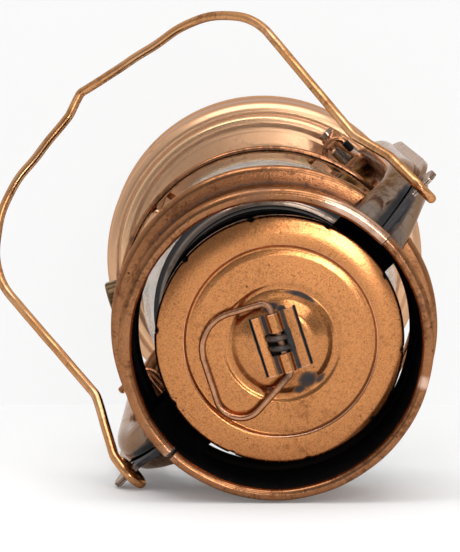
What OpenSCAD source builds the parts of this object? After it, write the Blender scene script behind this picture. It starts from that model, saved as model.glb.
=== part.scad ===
// Hurricane lantern with a sliding hood, a lifting globe and a wire bail.
// Millimetres, +Z up, the origin is on the floor under the tank's centre, -Y is the front.

/* [Sheet and wire] */
// Thickness of the pressed sheet metal
sheet = 0.8; // [0.5:0.1:1.5]
// Gap between faces that slide past each other
slide_gap = 0.5; // [0.3:0.05:1]
// Gap between a moving piece and the piece it rests on
rest_gap = 0.3; // [0.2:0.05:0.6]
// Radial play of a pin in its hole
pin_play = 0.08; // [0.02:0.01:0.1]
// Radius of the bail wire
bail_wire_r = 1.45; // [1:0.05:2.5]
// Radius of the guard wire
guard_wire_r = 1.2; // [0.8:0.05:2]
// Radius of the lift ring wire
ring_wire_r = 1; // [0.8:0.05:1.5]

/* [Tank] */
// Outer radius of the tank drum
tank_r = 60; // [50:0.5:80]
// Thickness of the tank's flat bottom
foot_h = 1.2; // [0.8:0.1:3]
// Height of the bottom's skirt inside the drum
skirt_h = 6; // [3:0.5:12]
// Height where the drum wall starts to round over
drum_top = 37; // [28:0.5:60]
// Rounding of the drum's outer shoulder
shoulder_r = 5; // [3:0.5:8]
// Distance of the second ring's middle inside the drum wall
step_ring_r = 8.2; // [5:0.1:14]
// Rounding of the second ring
step_round = 2.6; // [1.5:0.1:4]
// Rise of the tank's flat top above its outer shoulder
tank_top = 4; // [2:0.5:10]

/* [Air chamber] */
// Distance of the air chamber's foot inside the tank's edge
chamber_low_r = 23; // [18:0.5:26]
// Distance by which the air chamber narrows to its top
chamber_top_r = 3.5; // [0:0.5:6]
// Height of the air chamber
chamber_top = 17.5; // [12:0.5:28]
// Radius of the opening under the burner
chamber_hole_r = 20; // [16:0.5:22]

/* [Filler] */
// Direction of the filler around the tank
filler_angle = 45; // [0:1:359]
// Distance of the filler's middle inside the drum wall
filler_dist = 11.2; // [10:0.1:13]
// Outer radius of the filler neck
neck_r = 8; // [6:0.1:9]
// Rise of the neck's mouth above the tank
neck_top = 8; // [5:0.5:14]
// Outer radius of the filler cap
filler_cap_r = 10.4; // [9:0.1:12]
// Thickness of the gasket
gasket_h = 1.2; // [0.8:0.1:2]

/* [Burner] */
// Direction of the wick shaft around the lantern
burner_angle = -27; // [-60:1:-20]
// Width of the flat wick
wick_w = 14; // [8:0.5:18]
// Thickness of the flat wick
wick_t = 2; // [1.5:0.1:3]
// Rise of the wick's lit end above the dome
wick_top = 3; // [1:0.5:6]
// Height of the wick shaft above the tank
shaft_z = 9; // [5:0.5:12]
// Radius of the wick shaft
shaft_r = 1.3; // [1:0.05:2]
// Radius of the star wheels
star_r = 3; // [2.5:0.1:4]
// Radius of the wick knob
knob_r = 7; // [5:0.1:9]
// Distance of the knob's outer face inside the drum wall
knob_reach = 1; // [0:0.5:5]
// Outer radius of the burner plate
burner_r = 24.5; // [22:0.5:28]
// Radius of the dome's foot
dome_low_r = 21.5; // [19:0.1:22]
// Radius of the dome's top
dome_top_r = 13; // [10:0.1:16]
// Height of the dome's top above the air chamber
dome_top = 19.5; // [13:0.5:27]

/* [Globe] */
// Height of the globe plate above the air chamber
plate_z = 3; // [2:0.1:8]
// Thickness of the globe plate
plate_t = 1; // [0.8:0.1:2]
// Height of the globe plate's rim
plate_rim_h = 4; // [2:0.1:6]
// Reach of the globe plate beyond the globe's foot
plate_r = 5; // [3:0.5:8]
// Outer radius of the globe at its foot
globe_low_r = 31; // [28:0.5:34]
// Outer radius of the globe at its belly
globe_belly_r = 43.5; // [38:0.5:44]
// Height of the belly above the globe's foot
globe_belly_z = 50.5; // [35:0.5:65]
// Outer radius of the globe at its mouth
globe_top_r = 27; // [24:0.5:30]
// Height of the globe
globe_top = 122.5; // [100:0.5:140]
// Thickness of the glass
glass_t = 2; // [1.5:0.1:3]

/* [Guard] */
// Reach of the guard ring beyond the belly
guard_r = 5; // [3:0.1:7]
// Height of the guard ring above the globe's foot
guard_z = 84.5; // [60:0.5:98]
// Direction of the front hoop
hoop_angle = -82; // [-100:1:-70]
// Distance of the guide prongs from the tube's mid plane
prong_y = 12.6; // [11:0.1:15]
// Distance of the prongs' ends inside the tube's middle line
prong_reach = 2; // [0:0.5:6]
// Distance of the prong wire's bridge inside the guard ring
prong_set = 3.9; // [3:0.1:6]

/* [Side tubes] */
// Outer width of a tube across its seam
tube_w = 15; // [12:0.5:20]
// Outer depth of a tube along its seam
tube_d = 11; // [9:0.5:14]
// Distance of a tube's middle line outside the crown band
tube_x = 15.1; // [13:0.1:24]
// Bend radius of a tube at the crown
bend_top_r = 75; // [60:0.5:90]
// Drop of the upper bend's start below the crown band
bend_top_z = 36; // [24:0.5:48]
// Bend radius of a tube at the tank
bend_low_r = 55; // [45:0.5:60]
// Rise of the lower bend's start above the air chamber
bend_low_z = 37.5; // [25:0.5:50]
// Height of the outer seam fin
fin_out = 3; // [1.5:0.1:4]
// Height of the inner seam fin
fin_in = 1.5; // [0.5:0.1:3]

/* [Crown] */
// Distance of the band's outer face from the chimney guide's bore
band_r = 9.7; // [7:0.1:14]
// Height of the band's lower edge above the globe
band_low = 32; // [22:0.5:40]
// Height of the band
band_top = 40; // [30:0.5:52]
// Roll radius of the upper bead on the front half
bead_front = 2.2; // [1.5:0.1:3]
// Roll radius of the upper bead on the back half
bead_back = 1.9; // [1.5:0.1:3]
// Roll radius of the lower bead
bead_low = 2; // [0.8:0.1:2.6]
// Distance of the lower bead's outer fold from its inner one
bead_fold = 3.5; // [1:0.1:5]
// Gap between the two halves of the band
seam_gap = 0.2; // [0.1:0.05:0.5]
// Height of the bail's turning axis above the band's lower edge
ear_z = 9; // [5:0.5:16]
// Distance of the bail's eyes inside the tube's middle line
ear_x = -1.5; // [-4:0.5:3]

/* [Hood] */
// Inner radius of the chimney guide
guide_r = 33.7; // [31:0.1:36]
// Drop of the guide's lower edge below the band's
guide_low = 5; // [2:0.5:12]
// Drop of the guide's upper edge below the band's
guide_top = 20; // [16:0.5:26]
// Half width of an inlet box
inlet_half = 9.3; // [6:0.1:11]
// Drop of the inlet boxes' underside below the band's lower edge
inlet_low = 1; // [0:0.5:4]
// Drop of the inlet boxes' top below the guide's upper edge
inlet_top = 2; // [1:0.5:8]
// Drop of the bell's lip below the globe's mouth
bell_low = 3; // [1:0.5:6]
// Rise of the bell's upper edge above the globe's mouth
bell_top = 9; // [5:0.5:15]
// Height of the spring bar above the guide's lower edge
bar_z = 10; // [4:0.5:16]
// Reach of the cap's edge beyond the hood chimney
cap_r = 3.3; // [1.5:0.1:5]
// Drop of the cap's edge below its flat zone
cap_edge_z = 4; // [2:0.1:6]
// Width of the cap's rounded outer zone
cap_groove_r = 9.3; // [7:0.1:12]
// Drop of the cap's flat zone below the band's top
cap_flat_z = 10.6; // [6:0.1:14]
// Radius of the boss on the cap
boss_r = 15.6; // [12:0.1:18]
// Height of the boss above the cap's flat zone
boss_z = 3.1; // [1:0.1:6]
// Number of notches in the cap's edge
notches = 10; // [6:1:16]

/* [Lift ring] */
// Direction of the ring's axle
axle_angle = 63; // [0:1:180]
// Offset of the bracket from the axis towards +X
bracket_x = -1.2; // [-3:0.1:3]
// Offset of the bracket from the axis towards +Y
bracket_y = 0.8; // [-3:0.1:3]
// Length of the bracket along the axle
bracket_l = 17.4; // [14:0.1:20]
// Width of the bracket across the axle
bracket_w = 12.6; // [10:0.1:15]
// Width of the ring between its wire's middles
ring_w = 24.4; // [22:0.2:28]
// Reach of the ring from its axle
ring_reach = 22.8; // [20:0.1:26]
// Distance by which the ring's far corner leans out along the axle
ring_lean = 11.2; // [8:0.1:12]
// Distance by which the leaning leg starts closer to the bracket
ring_pinch = 1.8; // [0:0.1:2.5]

/* [Lever] */
// Height of the lever's pivot above the air chamber
pivot_z = 6.9; // [5:0.1:12]
// Distance of the lever's pivot from the axis
pivot_x = 50; // [47:0.5:53]
// Distance of the lever in front of the tubes' plane
lever_y = 16; // [14:0.1:20]
// Drop of the thumb loop below the guard ring
loop_z = 3.2; // [2.8:0.1:20]

/* [Bail] */
// Angle of the stored bail below level
bail_drop = 45; // [0:1:60]
// Radius of the eye at each end of the bail
eye_r = 4.5; // [4:0.1:6]

/* [Hidden] */
$fn = 64;
// Solder film under a piece that is soldered on.
film = 0.02;
big = 400;
wire_step = 0.04;
wire_lead = 0.25;
// Heights above the floor, from the tank up.
shoulder_top = drum_top + shoulder_r;
tank_top_z = shoulder_top + tank_top;
step_z = tank_top_z - step_round - 0.8;
chamber_top_z = tank_top_z + chamber_top;
neck_top_z = tank_top_z + neck_top;
shaft_mid_z = tank_top_z + shaft_z;
dome_top_z = chamber_top_z + dome_top;
wick_top_z = dome_top_z + wick_top;
plate_low_z = chamber_top_z + plate_z;
plate_top = plate_low_z + plate_t;
belly_z = plate_top + globe_belly_z;
globe_top_z = plate_top + globe_top;
guard_mid_z = plate_top + guard_z;
pivot_mid_z = chamber_top_z + pivot_z;
loop_mid_z = guard_mid_z - loop_z;
band_low_z = globe_top_z + band_low;
band_top_z = band_low_z + band_top;
ear_mid_z = band_low_z + ear_z;
bend_high_z = band_low_z - bend_top_z;
bend_foot_z = chamber_top_z + bend_low_z;
guide_low_z = band_low_z - guide_low;
guide_top_z = band_top_z - guide_top;
inlet_low_z = band_low_z - inlet_low;
inlet_top_z = guide_top_z - inlet_top;
bell_low_z = globe_top_z - bell_low;
bell_top_z = globe_top_z + bell_top;
bar_low_z = guide_low_z + bar_z;
cap_level_z = band_top_z - cap_flat_z;
cap_rim_z = cap_level_z - cap_edge_z;
boss_top_z = cap_level_z + boss_z;
// Distances from the lantern's axis.
drum_in_r = tank_r - sheet;
chamber_foot_r = tank_r - chamber_low_r;
chamber_head_r = chamber_foot_r - chamber_top_r;
step_r = tank_r - step_ring_r;
filler_r = tank_r - filler_dist;
knob_x = tank_r - knob_reach;
plate_out_r = globe_low_r + plate_r;
guard_ring_r = globe_belly_r + guard_r;
chimney_out_r = guide_r - slide_gap - sheet;
chimney_in_r = chimney_out_r - sheet;
bell_out_r = guide_r - slide_gap;
guide_out_r = guide_r + sheet;
cap_out_r = chimney_out_r + cap_r;
groove_r = cap_out_r - cap_groove_r;
band_out_r = guide_r + band_r;
band_in_r = band_out_r - sheet;
tube_mid_x = band_out_r + tube_x;
eye_x = tube_mid_x - ear_x;
prong_x = tube_mid_x - prong_reach;
tube_hw = tube_w / 2;
tube_hd = tube_d / 2;
bend_top_x = tube_mid_x - bend_top_r;
bend_low_x = tube_mid_x - bend_low_r;
// The cap's outer zone is one round sweep of this radius about this height and radius.
cap_arc_r = 8.2;
cap_arc_c = (cap_out_r + groove_r) / 2;
cap_arc_z = cap_level_z + 1.2 - cap_arc_r;
chimney_top = cap_arc_z + sqrt(pow(cap_arc_r - sheet, 2) - pow(chimney_out_r - cap_arc_c, 2));
web_z = globe_top_z + rest_gap;
axle_z = boss_top_z + ring_wire_r + 0.5;
slot_low = bar_low_z - 28;
bar_t = 2;
bar_w = 5;
hook_r = 0.8;
hook_gap = 2;
hook_low = boss_top_z - 8.5;
prong_gap = 1.5;
spring_r = 3.6;
neck_low = tank_top_z - 6;
cap_in_r = neck_r + 0.35;
gasket_z = neck_top_z + rest_gap;
filler_top_z = gasket_z + gasket_h;
filler_skirt = 7;
wick_tube_w = wick_w + 2;
wick_tube_t = wick_t + 2.4;
shaft_y = -(wick_t / 2 + rest_gap + star_r);
low_arc = pow(belly_z - plate_top, 2) + pow(globe_belly_r - globe_low_r, 2);
low_arc_r = low_arc / (2 * (globe_belly_r - globe_low_r));
top_arc = pow(globe_top_z - belly_z, 2) + pow(globe_belly_r - globe_top_r, 2);
top_arc_r = top_arc / (2 * (globe_belly_r - globe_top_r));
hoop_r = guard_ring_r - 2 * guard_wire_r;
foot_wire_z = plate_low_z - guard_wire_r;
tip_r = 1.2;
tip_x = 14;
tip_z = plate_low_z - rest_gap - tip_r;
plate_hole_r = dome_low_r + 0.8;
vent_r = (plate_hole_r + globe_low_r - glass_t) / 2;
// The lever's short arm runs this far under its tip.
tip_sink = 1.2;

// The eye's end stops a rest gap short of the bail's leg.
eye_sweep = 270 + asin((eye_r - 2 * bail_wire_r - rest_gap) / eye_r);
// Where a tube's middle line meets the air chamber's wall.
duct_angle = acos(((chamber_foot_r + chamber_head_r) / 2 - bend_low_x) / bend_low_r);
duct_x = bend_low_x + bend_low_r * cos(duct_angle);
duct_z = bend_foot_z - bend_low_r * sin(duct_angle);

copper = [0.60, 0.36, 0.22];
soot = [0.08, 0.08, 0.08];
steel = [0.55, 0.53, 0.50];
brass = [0.70, 0.55, 0.30];
glass = [0.85, 0.92, 0.93, 0.35];
cotton = [0.88, 0.84, 0.74];
rubber = [0.12, 0.11, 0.10];

// Points of the bail wire in its own plane: sideways, outwards, bend radius.
bail_path = [
    [eye_x, 0, 0],
    [eye_x, 5, 8],
    [eye_x - 6.7, 27, 9],
    [eye_x - 2.2, 112.9, 35],
    [4.3, 120.2, 6],
    [-3.1, 124.4, 2.5],
    [-11, 121.2, 8],
    [-eye_x - 1.7, 106.8, 30],
    [-eye_x + 3.1, 28, 12],
    [-eye_x, 13, 16],
    [-eye_x, 0, 0]
];

// Points of the lift ring in its own plane, from one end of the axle round to the other.
ring_path = [
    [0, 0, 0],
    [ring_w / 2 - ring_pinch, 0, 2],
    [ring_w / 2 + ring_lean, ring_reach, 7],
    [-ring_w / 2, ring_reach, 11],
    [-ring_w / 2, 0, 2.5],
    [0, 0, 0]
];

// Points of the thumb loop in its own level plane, relative to the lever's pivot.
loop_path = [
    [-3, 4.2, 0],
    [5.2, 4.2, 3.4],
    [5.2, -5.8, 3.4],
    [-3, -5.8, 3],
    [-3, 0.6, 0]
];

// Points of a guard hoop in the plane of its radius: outwards, upwards, bend radius.
hoop_path = [
    [plate_out_r - 3.4, foot_wire_z, 0],
    [hoop_r, foot_wire_z, 9],
    [hoop_r, guard_mid_z + 4, 0]
];

// Points of the guide prongs, a bent wire that lies on the guard ring.
prong_path = [
    [prong_x, -prong_y, 0],
    [guard_ring_r - prong_set, -prong_y, 4],
    [guard_ring_r - prong_set, prong_y, 4],
    [prong_x, prong_y, 0]
];

// Node to draw

// Unit vector from point a to point b of a flat path.
function dir2(a, b) = [b[0] - a[0], b[1] - a[1]] / norm([b[0] - a[0], b[1] - a[1]]);

// Signed turn in degrees from direction a to direction b.
function turn(a, b) = atan2(a[0] * b[1] - a[1] * b[0], a[0] * b[0] + a[1] * b[1]);

// Length that a bend of radius r takes from each of its two straight runs.
function bend_cut(r, a) = r * tan(abs(a) / 2);

// Turn at point i of a flat path, 0 at its ends.
function turn_at(p, i) =
    i == 0 || i == len(p) - 1 ? 0 : turn(dir2(p[i - 1], p[i]), dir2(p[i], p[i + 1]));

// Round wire along a flat path of points with bend radii, lying in the XY plane.
// The straight runs are a hair thinner than the bends and reach a little into them.
module flat_wire(p, r, end_lead = 0) {
    for (i = [0 : len(p) - 2]) {
        d = dir2(p[i], p[i + 1]);
        lead_a = i == 0 ? end_lead : wire_lead;
        lead_b = i == len(p) - 2 ? end_lead : wire_lead;
        cut_a = bend_cut(p[i][2], turn_at(p, i)) - lead_a;
        cut_b = bend_cut(p[i + 1][2], turn_at(p, i + 1)) - lead_b;
        run = norm([p[i + 1][0] - p[i][0], p[i + 1][1] - p[i][1]]) - cut_a - cut_b;
        translate([p[i][0] + d[0] * cut_a, p[i][1] + d[1] * cut_a, 0])
            rotate([0, 0, atan2(d[1], d[0])])
                rotate([0, 90, 0])
                    cylinder(r = r - wire_step, h = run, $fn = 24);
    }
    for (i = [1 : len(p) - 2]) {
        a = turn_at(p, i);
        d = dir2(p[i - 1], p[i]);
        cut = bend_cut(p[i][2], a);
        way = atan2(d[1], d[0]);
        side = a > 0 ? 90 : -90;
        start = [p[i][0] - d[0] * cut, p[i][1] - d[1] * cut];
        centre = start + p[i][2] * [cos(way + side), sin(way + side)];
        translate([centre[0], centre[1], 0])
            rotate([0, 0, a > 0 ? way - 90 : way + 90 + a])
                rotate_extrude(angle = abs(a))
                    translate([p[i][2], 0])
                        circle(r = r, $fn = 24);
    }
}

// Tank, foot and air chamber.
module tank_outline(t) {
    translate([0, foot_h])
        square([tank_r - t, drum_top - foot_h]);
    translate([tank_r - shoulder_r, drum_top])
        circle(r = shoulder_r - t);
    square([tank_r - shoulder_r, shoulder_top - t]);
    translate([step_r, step_z])
        circle(r = step_round - t);
    square([step_r, step_z + step_round - t]);
    polygon([[0, foot_h], [step_r, step_z + step_round - t], [44, tank_top_z - t], [0, tank_top_z - t]]);
}

module tank_shell() {
    color(copper)
        difference() {
            rotate_extrude()
                difference() {
                    tank_outline(0);
                    tank_outline(sheet);
                    translate([-big, -big])
                        square([big, 2 * big]);
                    translate([0, foot_h - big])
                        square([big, big]);
                }
            filler_axis()
                translate([0, 0, drum_top - 5])
                    cylinder(r = neck_r, h = 30);
            rotate([0, 0, burner_angle])
                translate([-wick_tube_w / 2, -wick_tube_t / 2, tank_top_z - 5])
                    cube([wick_tube_w, wick_tube_t, 10]);
        }
}

module tank_bottom() {
    color(copper)
        rotate_extrude() {
            square([tank_r, foot_h]);
            translate([drum_in_r - sheet, 0])
                square([sheet, foot_h + skirt_h]);
        }
}

module air_chamber() {
    color(copper)
        difference() {
            rotate_extrude()
                difference() {
                    polygon([[0, tank_top_z], [chamber_foot_r, tank_top_z], [chamber_head_r, chamber_top_z],
                        [0, chamber_top_z]]);
                    polygon([[0, tank_top_z - 1], [chamber_foot_r - sheet, tank_top_z - 1],
                        [chamber_foot_r - sheet, tank_top_z],
                        [chamber_head_r - sheet, chamber_top_z - sheet], [0, chamber_top_z - sheet]]);
                    square([chamber_hole_r, big]);
                }
            for (side = [0, 1])
                mirror([side, 0, 0])
                    translate([duct_x, 0, duct_z])
                        rotate([0, duct_angle, 0])
                            linear_extrude(20, center = true)
                                tube_section(sheet + 0.2);
            shaft_axis()
                cylinder(r = shaft_r + 2, h = knob_x);
        }
}

// Filler.
module filler_axis() {
    rotate([0, 0, filler_angle])
        translate([filler_r, 0, 0])
            children();
}

module filler_neck() {
    color(brass)
        filler_axis()
            difference() {
                translate([0, 0, neck_low])
                    cylinder(r = neck_r, h = neck_top_z - neck_low);
                translate([0, 0, neck_low - 1])
                    cylinder(r = neck_r - 1.2, h = big);
            }
}

module filler_gasket() {
    color(rubber)
        filler_axis()
            translate([0, 0, gasket_z])
                difference() {
                    cylinder(r = neck_r, h = gasket_h - pin_play);
                    translate([0, 0, -1])
                        cylinder(r = neck_r - 2, h = big);
                }
}

module filler_cap() {
    color(copper)
        filler_axis()
            difference() {
                union() {
                    translate([0, 0, filler_top_z - filler_skirt])
                        cylinder(r = filler_cap_r, h = filler_skirt + 1.2);
                    translate([0, 0, filler_top_z])
                        cylinder(r = filler_cap_r - 3, h = 2.2);
                }
                translate([0, 0, filler_top_z - 2 * filler_skirt])
                    cylinder(r = cap_in_r, h = 2 * filler_skirt);
                for (i = [0 : 17])
                    rotate([0, 0, i * 20])
                        translate([filler_cap_r + 0.3, 0, filler_top_z - 2 * filler_skirt])
                            cylinder(r = 0.9, h = 4 * filler_skirt);
            }
}

// Burner and wick drive.
module shaft_axis() {
    rotate([0, 0, burner_angle])
        translate([0, shaft_y, shaft_mid_z])
            rotate([0, 90, 0])
                children();
}

module burner_plate() {
    color(brass)
        difference() {
            rotate_extrude() {
                translate([0, chamber_top_z])
                    square([burner_r, 1.2]);
                translate([burner_r - 1, chamber_top_z])
                    square([1, plate_low_z - rest_gap - chamber_top_z]);
            }
            rotate([0, 0, burner_angle])
                translate([-wick_tube_w / 2, -wick_tube_t / 2, 0])
                    cube([wick_tube_w, wick_tube_t, big]);
        }
}

module wick_tube() {
    color(brass)
        rotate([0, 0, burner_angle])
            difference() {
                translate([-wick_tube_w / 2, -wick_tube_t / 2, tank_top_z - 6])
                    cube([wick_tube_w, wick_tube_t, wick_top_z - 4 - tank_top_z + 6]);
                translate([-wick_w / 2 - rest_gap, -wick_t / 2 - rest_gap, 0])
                    cube([wick_w + 2 * rest_gap, wick_t + 2 * rest_gap, big]);
                translate([-wick_w / 2 - rest_gap, -wick_tube_t, shaft_mid_z - star_r - 1])
                    cube([wick_w + 2 * rest_gap, wick_tube_t, 2 * star_r + 2]);
            }
}

module burner_dome() {
    color(brass)
        difference() {
            rotate_extrude()
                difference() {
                    polygon([[0, chamber_top_z + 1.2], [dome_low_r, chamber_top_z + 1.2],
                        [dome_low_r - 1, plate_top + 2], [dome_top_r, dome_top_z - 2],
                        [dome_top_r - 2, dome_top_z], [0, dome_top_z]]);
                    polygon([[0, chamber_top_z], [dome_low_r - sheet, chamber_top_z],
                        [dome_low_r - sheet, chamber_top_z + 1.2],
                        [dome_low_r - 1 - sheet, plate_top + 2], [dome_top_r - sheet, dome_top_z - 2],
                        [dome_top_r - 2 - sheet, dome_top_z - sheet], [0, dome_top_z - sheet]]);
                }
            rotate([0, 0, burner_angle])
                translate([-wick_tube_w / 2 - 1, -wick_tube_t / 2 - 1.5, dome_top_z - 10])
                    cube([wick_tube_w + 2, wick_tube_t + 3, 20]);
            for (i = [0 : 11])
                rotate([0, 0, i * 30])
                    translate([12, 0, plate_top + 7])
                        rotate([0, 90, 0])
                            cylinder(r = 1.2, h = 14);
        }
}

module wick() {
    color(cotton)
        rotate([0, 0, burner_angle])
            translate([-wick_w / 2, -wick_t / 2, 8])
                cube([wick_w, wick_t, wick_top_z - 8]);
}

module wick_shaft() {
    color(steel)
        shaft_axis() {
            translate([0, 0, -wick_w / 2 - 1])
                cylinder(r = shaft_r, h = knob_x + wick_w / 2 - 1);
            for (x = [-4.6, 3])
                translate([0, 0, x])
                    difference() {
                        cylinder(r = star_r, h = 1.6);
                        for (i = [0 : 7])
                            rotate([0, 0, 22.5 + i * 45])
                                translate([star_r + 0.4, 0, -1])
                                    cylinder(r = 0.9, h = 4);
                    }
        }
}

module shaft_sleeve() {
    color(brass)
        shaft_axis()
            translate([0, 0, 28])
                difference() {
                    cylinder(r = shaft_r + 2, h = 16);
                    translate([0, 0, -1])
                        cylinder(r = shaft_r + pin_play, h = 20);
                }
}

module wick_knob() {
    color(brass)
        shaft_axis()
            translate([0, 0, knob_x - 5])
                difference() {
                    cylinder(r = knob_r, h = 5);
                    translate([0, 0, -1])
                        cylinder(r = shaft_r, h = 4);
                    for (i = [0 : 15])
                        rotate([0, 0, i * 22.5])
                            translate([knob_r + 0.4, 0, -1])
                                cylinder(r = 1, h = 8);
                }
}

// Side tubes: a section that follows an upper bend, a straight run and a lower bend.
module tube_section(t) {
    square([tube_d - 2 * t, tube_w - tube_d], center = true);
    for (s = [-1, 1])
        translate([0, s * (tube_w - tube_d) / 2])
            circle(r = tube_hd - t);
}

module half_section() {
    difference() {
        tube_section(0);
        tube_section(sheet);
        translate([-big, -2 * big])
            square([2 * big, 2 * big]);
    }
    translate([tube_hd - sheet / 2, 0])
        square([fin_out + sheet / 2, sheet]);
    translate([-tube_hd - fin_in, 0])
        square([fin_in + sheet / 2, sheet]);
}

module tube_sweep(low, high) {
    translate([bend_top_x, 0, bend_high_z])
        rotate([90, 0, 0])
            rotate_extrude(angle = high)
                translate([bend_top_r, 0])
                    children();
    translate([tube_mid_x, 0, bend_foot_z])
        linear_extrude(bend_high_z - bend_foot_z)
            mirror([0, 1])
                children();
    translate([bend_low_x, 0, bend_foot_z])
        mirror([0, 0, 1])
            rotate([90, 0, 0])
                rotate_extrude(angle = low)
                    translate([bend_low_r, 0])
                        children();
}

// Ear plate above the tube, with the hole for the bail's eye.
module ear_plate() {
    rotate([90, 0, 0])
        linear_extrude(sheet + 0.1)
            difference() {
                polygon([[band_in_r - 2, ear_mid_z - 1], [band_in_r - 2, ear_mid_z + 15],
                    [eye_x - 10, ear_mid_z + 10], [eye_x - 5.5, ear_mid_z + 2],
                    [eye_x + 4.4, ear_mid_z + 2], [eye_x + 6, ear_mid_z - 1], [eye_x + 6, ear_mid_z - 5],
                    [eye_x + 2.6, ear_mid_z - 13], [eye_x - 2, ear_mid_z - 17.5], [eye_x - 8, ear_mid_z - 7]]);
                translate([bend_top_x, bend_high_z])
                    circle(r = bend_top_r + tube_hd - sheet / 2);
            }
}

module half_tube() {
    difference() {
        union() {
            tube_sweep(66, 55)
                half_section();
            ear_plate();
        }
        translate([eye_x, 0, ear_mid_z - eye_r - 0.2])
            rotate([90, 0, 0])
                cylinder(r = bail_wire_r + 1, h = tube_w, center = true);
        translate([0, 0, bend_high_z])
            cylinder(r = band_in_r, h = band_top_z - bend_high_z);
        rotate_extrude()
            polygon([[0, 0], [tank_r, 0], [tank_r, tank_top_z], [chamber_foot_r, tank_top_z],
                [chamber_head_r, chamber_top_z], [0, chamber_top_z]]);
    }
}

module tube_right_front() {
    color(copper)
        half_tube();
}

module tube_right_back() {
    color(copper)
        mirror([0, 1, 0])
            half_tube();
}

module tube_left_front() {
    color(copper)
        mirror([1, 0, 0])
            half_tube();
}

module tube_left_back() {
    color(copper)
        mirror([1, 0, 0])
            mirror([0, 1, 0])
                half_tube();
}

// Crown band in two halves, cut where the tubes and their fins pass.
module band_half(bead, top) {
    difference() {
        rotate_extrude() {
            translate([band_in_r, band_low_z + bead_low])
                square([sheet, top - bead - band_low_z - bead_low]);
            translate([band_out_r - 0.6, top - bead])
                circle(r = bead);
            for (fold = [0, bead_fold])
                translate([band_out_r - sheet / 2 + fold, band_low_z + bead_low])
                    circle(r = bead_low);
        }
        translate([-big / 2, -seam_gap / 2, 0])
            cube([big, big, big]);
        for (side = [0, 1])
            mirror([side, 0, 0]) {
                tube_sweep(1, 58)
                    tube_section(0);
                translate([band_in_r - 4, -sheet - 0.1, 0])
                    cube([20, 2 * sheet + 0.2, ear_mid_z + 15]);
            }
    }
}

module crown_front() {
    color(copper)
        band_half(bead_front, band_top_z);
}

module crown_back() {
    color(copper)
        mirror([0, 1, 0])
            band_half(bead_back, band_top_z - 0.7);
}

module inlet_box() {
    difference() {
        translate([guide_r, -inlet_half, inlet_low_z])
            cube([band_out_r - guide_r, 2 * inlet_half, inlet_top_z - inlet_low_z]);
        translate([guide_r - 1, -inlet_half + sheet, inlet_low_z + sheet])
            cube([20, 2 * (inlet_half - sheet), inlet_top_z - inlet_low_z - 2 * sheet]);
        translate([0, 0, bend_high_z])
            cylinder(r = guide_out_r, h = band_top_z);
        translate([0, 0, bend_high_z])
            difference() {
                cylinder(r = 2 * band_out_r, h = band_top_z);
                translate([0, 0, -1])
                    cylinder(r = band_in_r, h = band_top_z + 2);
            }
        for (z = [inlet_low_z + 4, inlet_low_z + 9])
            translate([guide_out_r + 2, -2 * inlet_half, z])
                cube([4, 4 * inlet_half, 3]);
        band_bead_clear();
    }
}

// Room for the lower bead, which reaches a little inside the band's wall.
module band_bead_clear() {
    rotate_extrude()
        translate([band_out_r - sheet / 2, band_low_z + bead_low])
            circle(r = bead_low + rest_gap);
}

module inlet_right() {
    color(soot)
        inlet_box();
}

module inlet_left() {
    color(soot)
        mirror([1, 0, 0])
            inlet_box();
}

module chimney_guide() {
    color(soot)
        translate([0, 0, guide_low_z])
            difference() {
                cylinder(r = guide_out_r, h = guide_top_z - guide_low_z);
                translate([0, 0, -1])
                    cylinder(r = guide_r, h = 100);
            }
}

module spring_bar() {
    color(soot)
        intersection() {
            translate([-guide_r, bracket_y - bar_w / 2, bar_low_z])
                cube([2 * guide_r, bar_w, bar_t]);
            translate([0, 0, bar_low_z - 1])
                cylinder(r = guide_r, h = bar_t + 2);
        }
}

// Globe, its plate and the wire guard.
module globe_plate() {
    color(brass)
        difference() {
            union() {
                rotate_extrude() {
                    translate([0, plate_low_z])
                        square([plate_out_r, plate_t]);
                    translate([plate_out_r - plate_t, plate_low_z])
                        square([plate_t, plate_rim_h]);
                    translate([globe_low_r + 3 * rest_gap, plate_low_z])
                        square([plate_t, plate_t + 0.6]);
                }
                translate([-pivot_x + tip_x - 2, -lever_y - 3.5, plate_low_z])
                    cube([10, 7, plate_t]);
            }
            translate([0, 0, plate_low_z - 1])
                cylinder(r = plate_hole_r, h = 10);
            for (i = [0 : 23])
                rotate([0, 0, i * 15])
                    translate([vent_r, 0, plate_low_z - 1])
                        cylinder(r = 1.5, h = 10);
        }
}

module globe_outline(t) {
    intersection() {
        translate([globe_belly_r - low_arc_r, belly_z])
            circle(r = low_arc_r - t, $fn = 200);
        translate([0, plate_top])
            square([100, belly_z - plate_top]);
    }
    intersection() {
        translate([globe_belly_r - top_arc_r, belly_z])
            circle(r = top_arc_r - t, $fn = 200);
        translate([0, belly_z])
            square([100, globe_top_z - belly_z]);
    }
}

module globe() {
    color(glass)
        rotate_extrude()
            difference() {
                globe_outline(0);
                globe_outline(glass_t);
            }
}

module guard_ring() {
    color(copper)
        translate([0, 0, guard_mid_z])
            rotate_extrude()
                translate([guard_ring_r, 0])
                    circle(r = guard_wire_r, $fn = 24);
}

module hoop() {
    rotate([90, 0, 0])
        flat_wire(hoop_path, guard_wire_r);
}

module hoop_front() {
    color(copper)
        rotate([0, 0, hoop_angle])
            hoop();
}

module hoop_back() {
    color(copper)
        rotate([0, 0, hoop_angle + 180])
            hoop();
}

module guide_prongs() {
    color(copper)
        translate([0, 0, guard_mid_z + 2 * guard_wire_r])
            flat_wire(prong_path, guard_wire_r);
}

// Globe lever on a post at the left tube.
module pivot_axis() {
    translate([-pivot_x, 0, pivot_mid_z])
        rotate([90, 0, 0])
            children();
}

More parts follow.
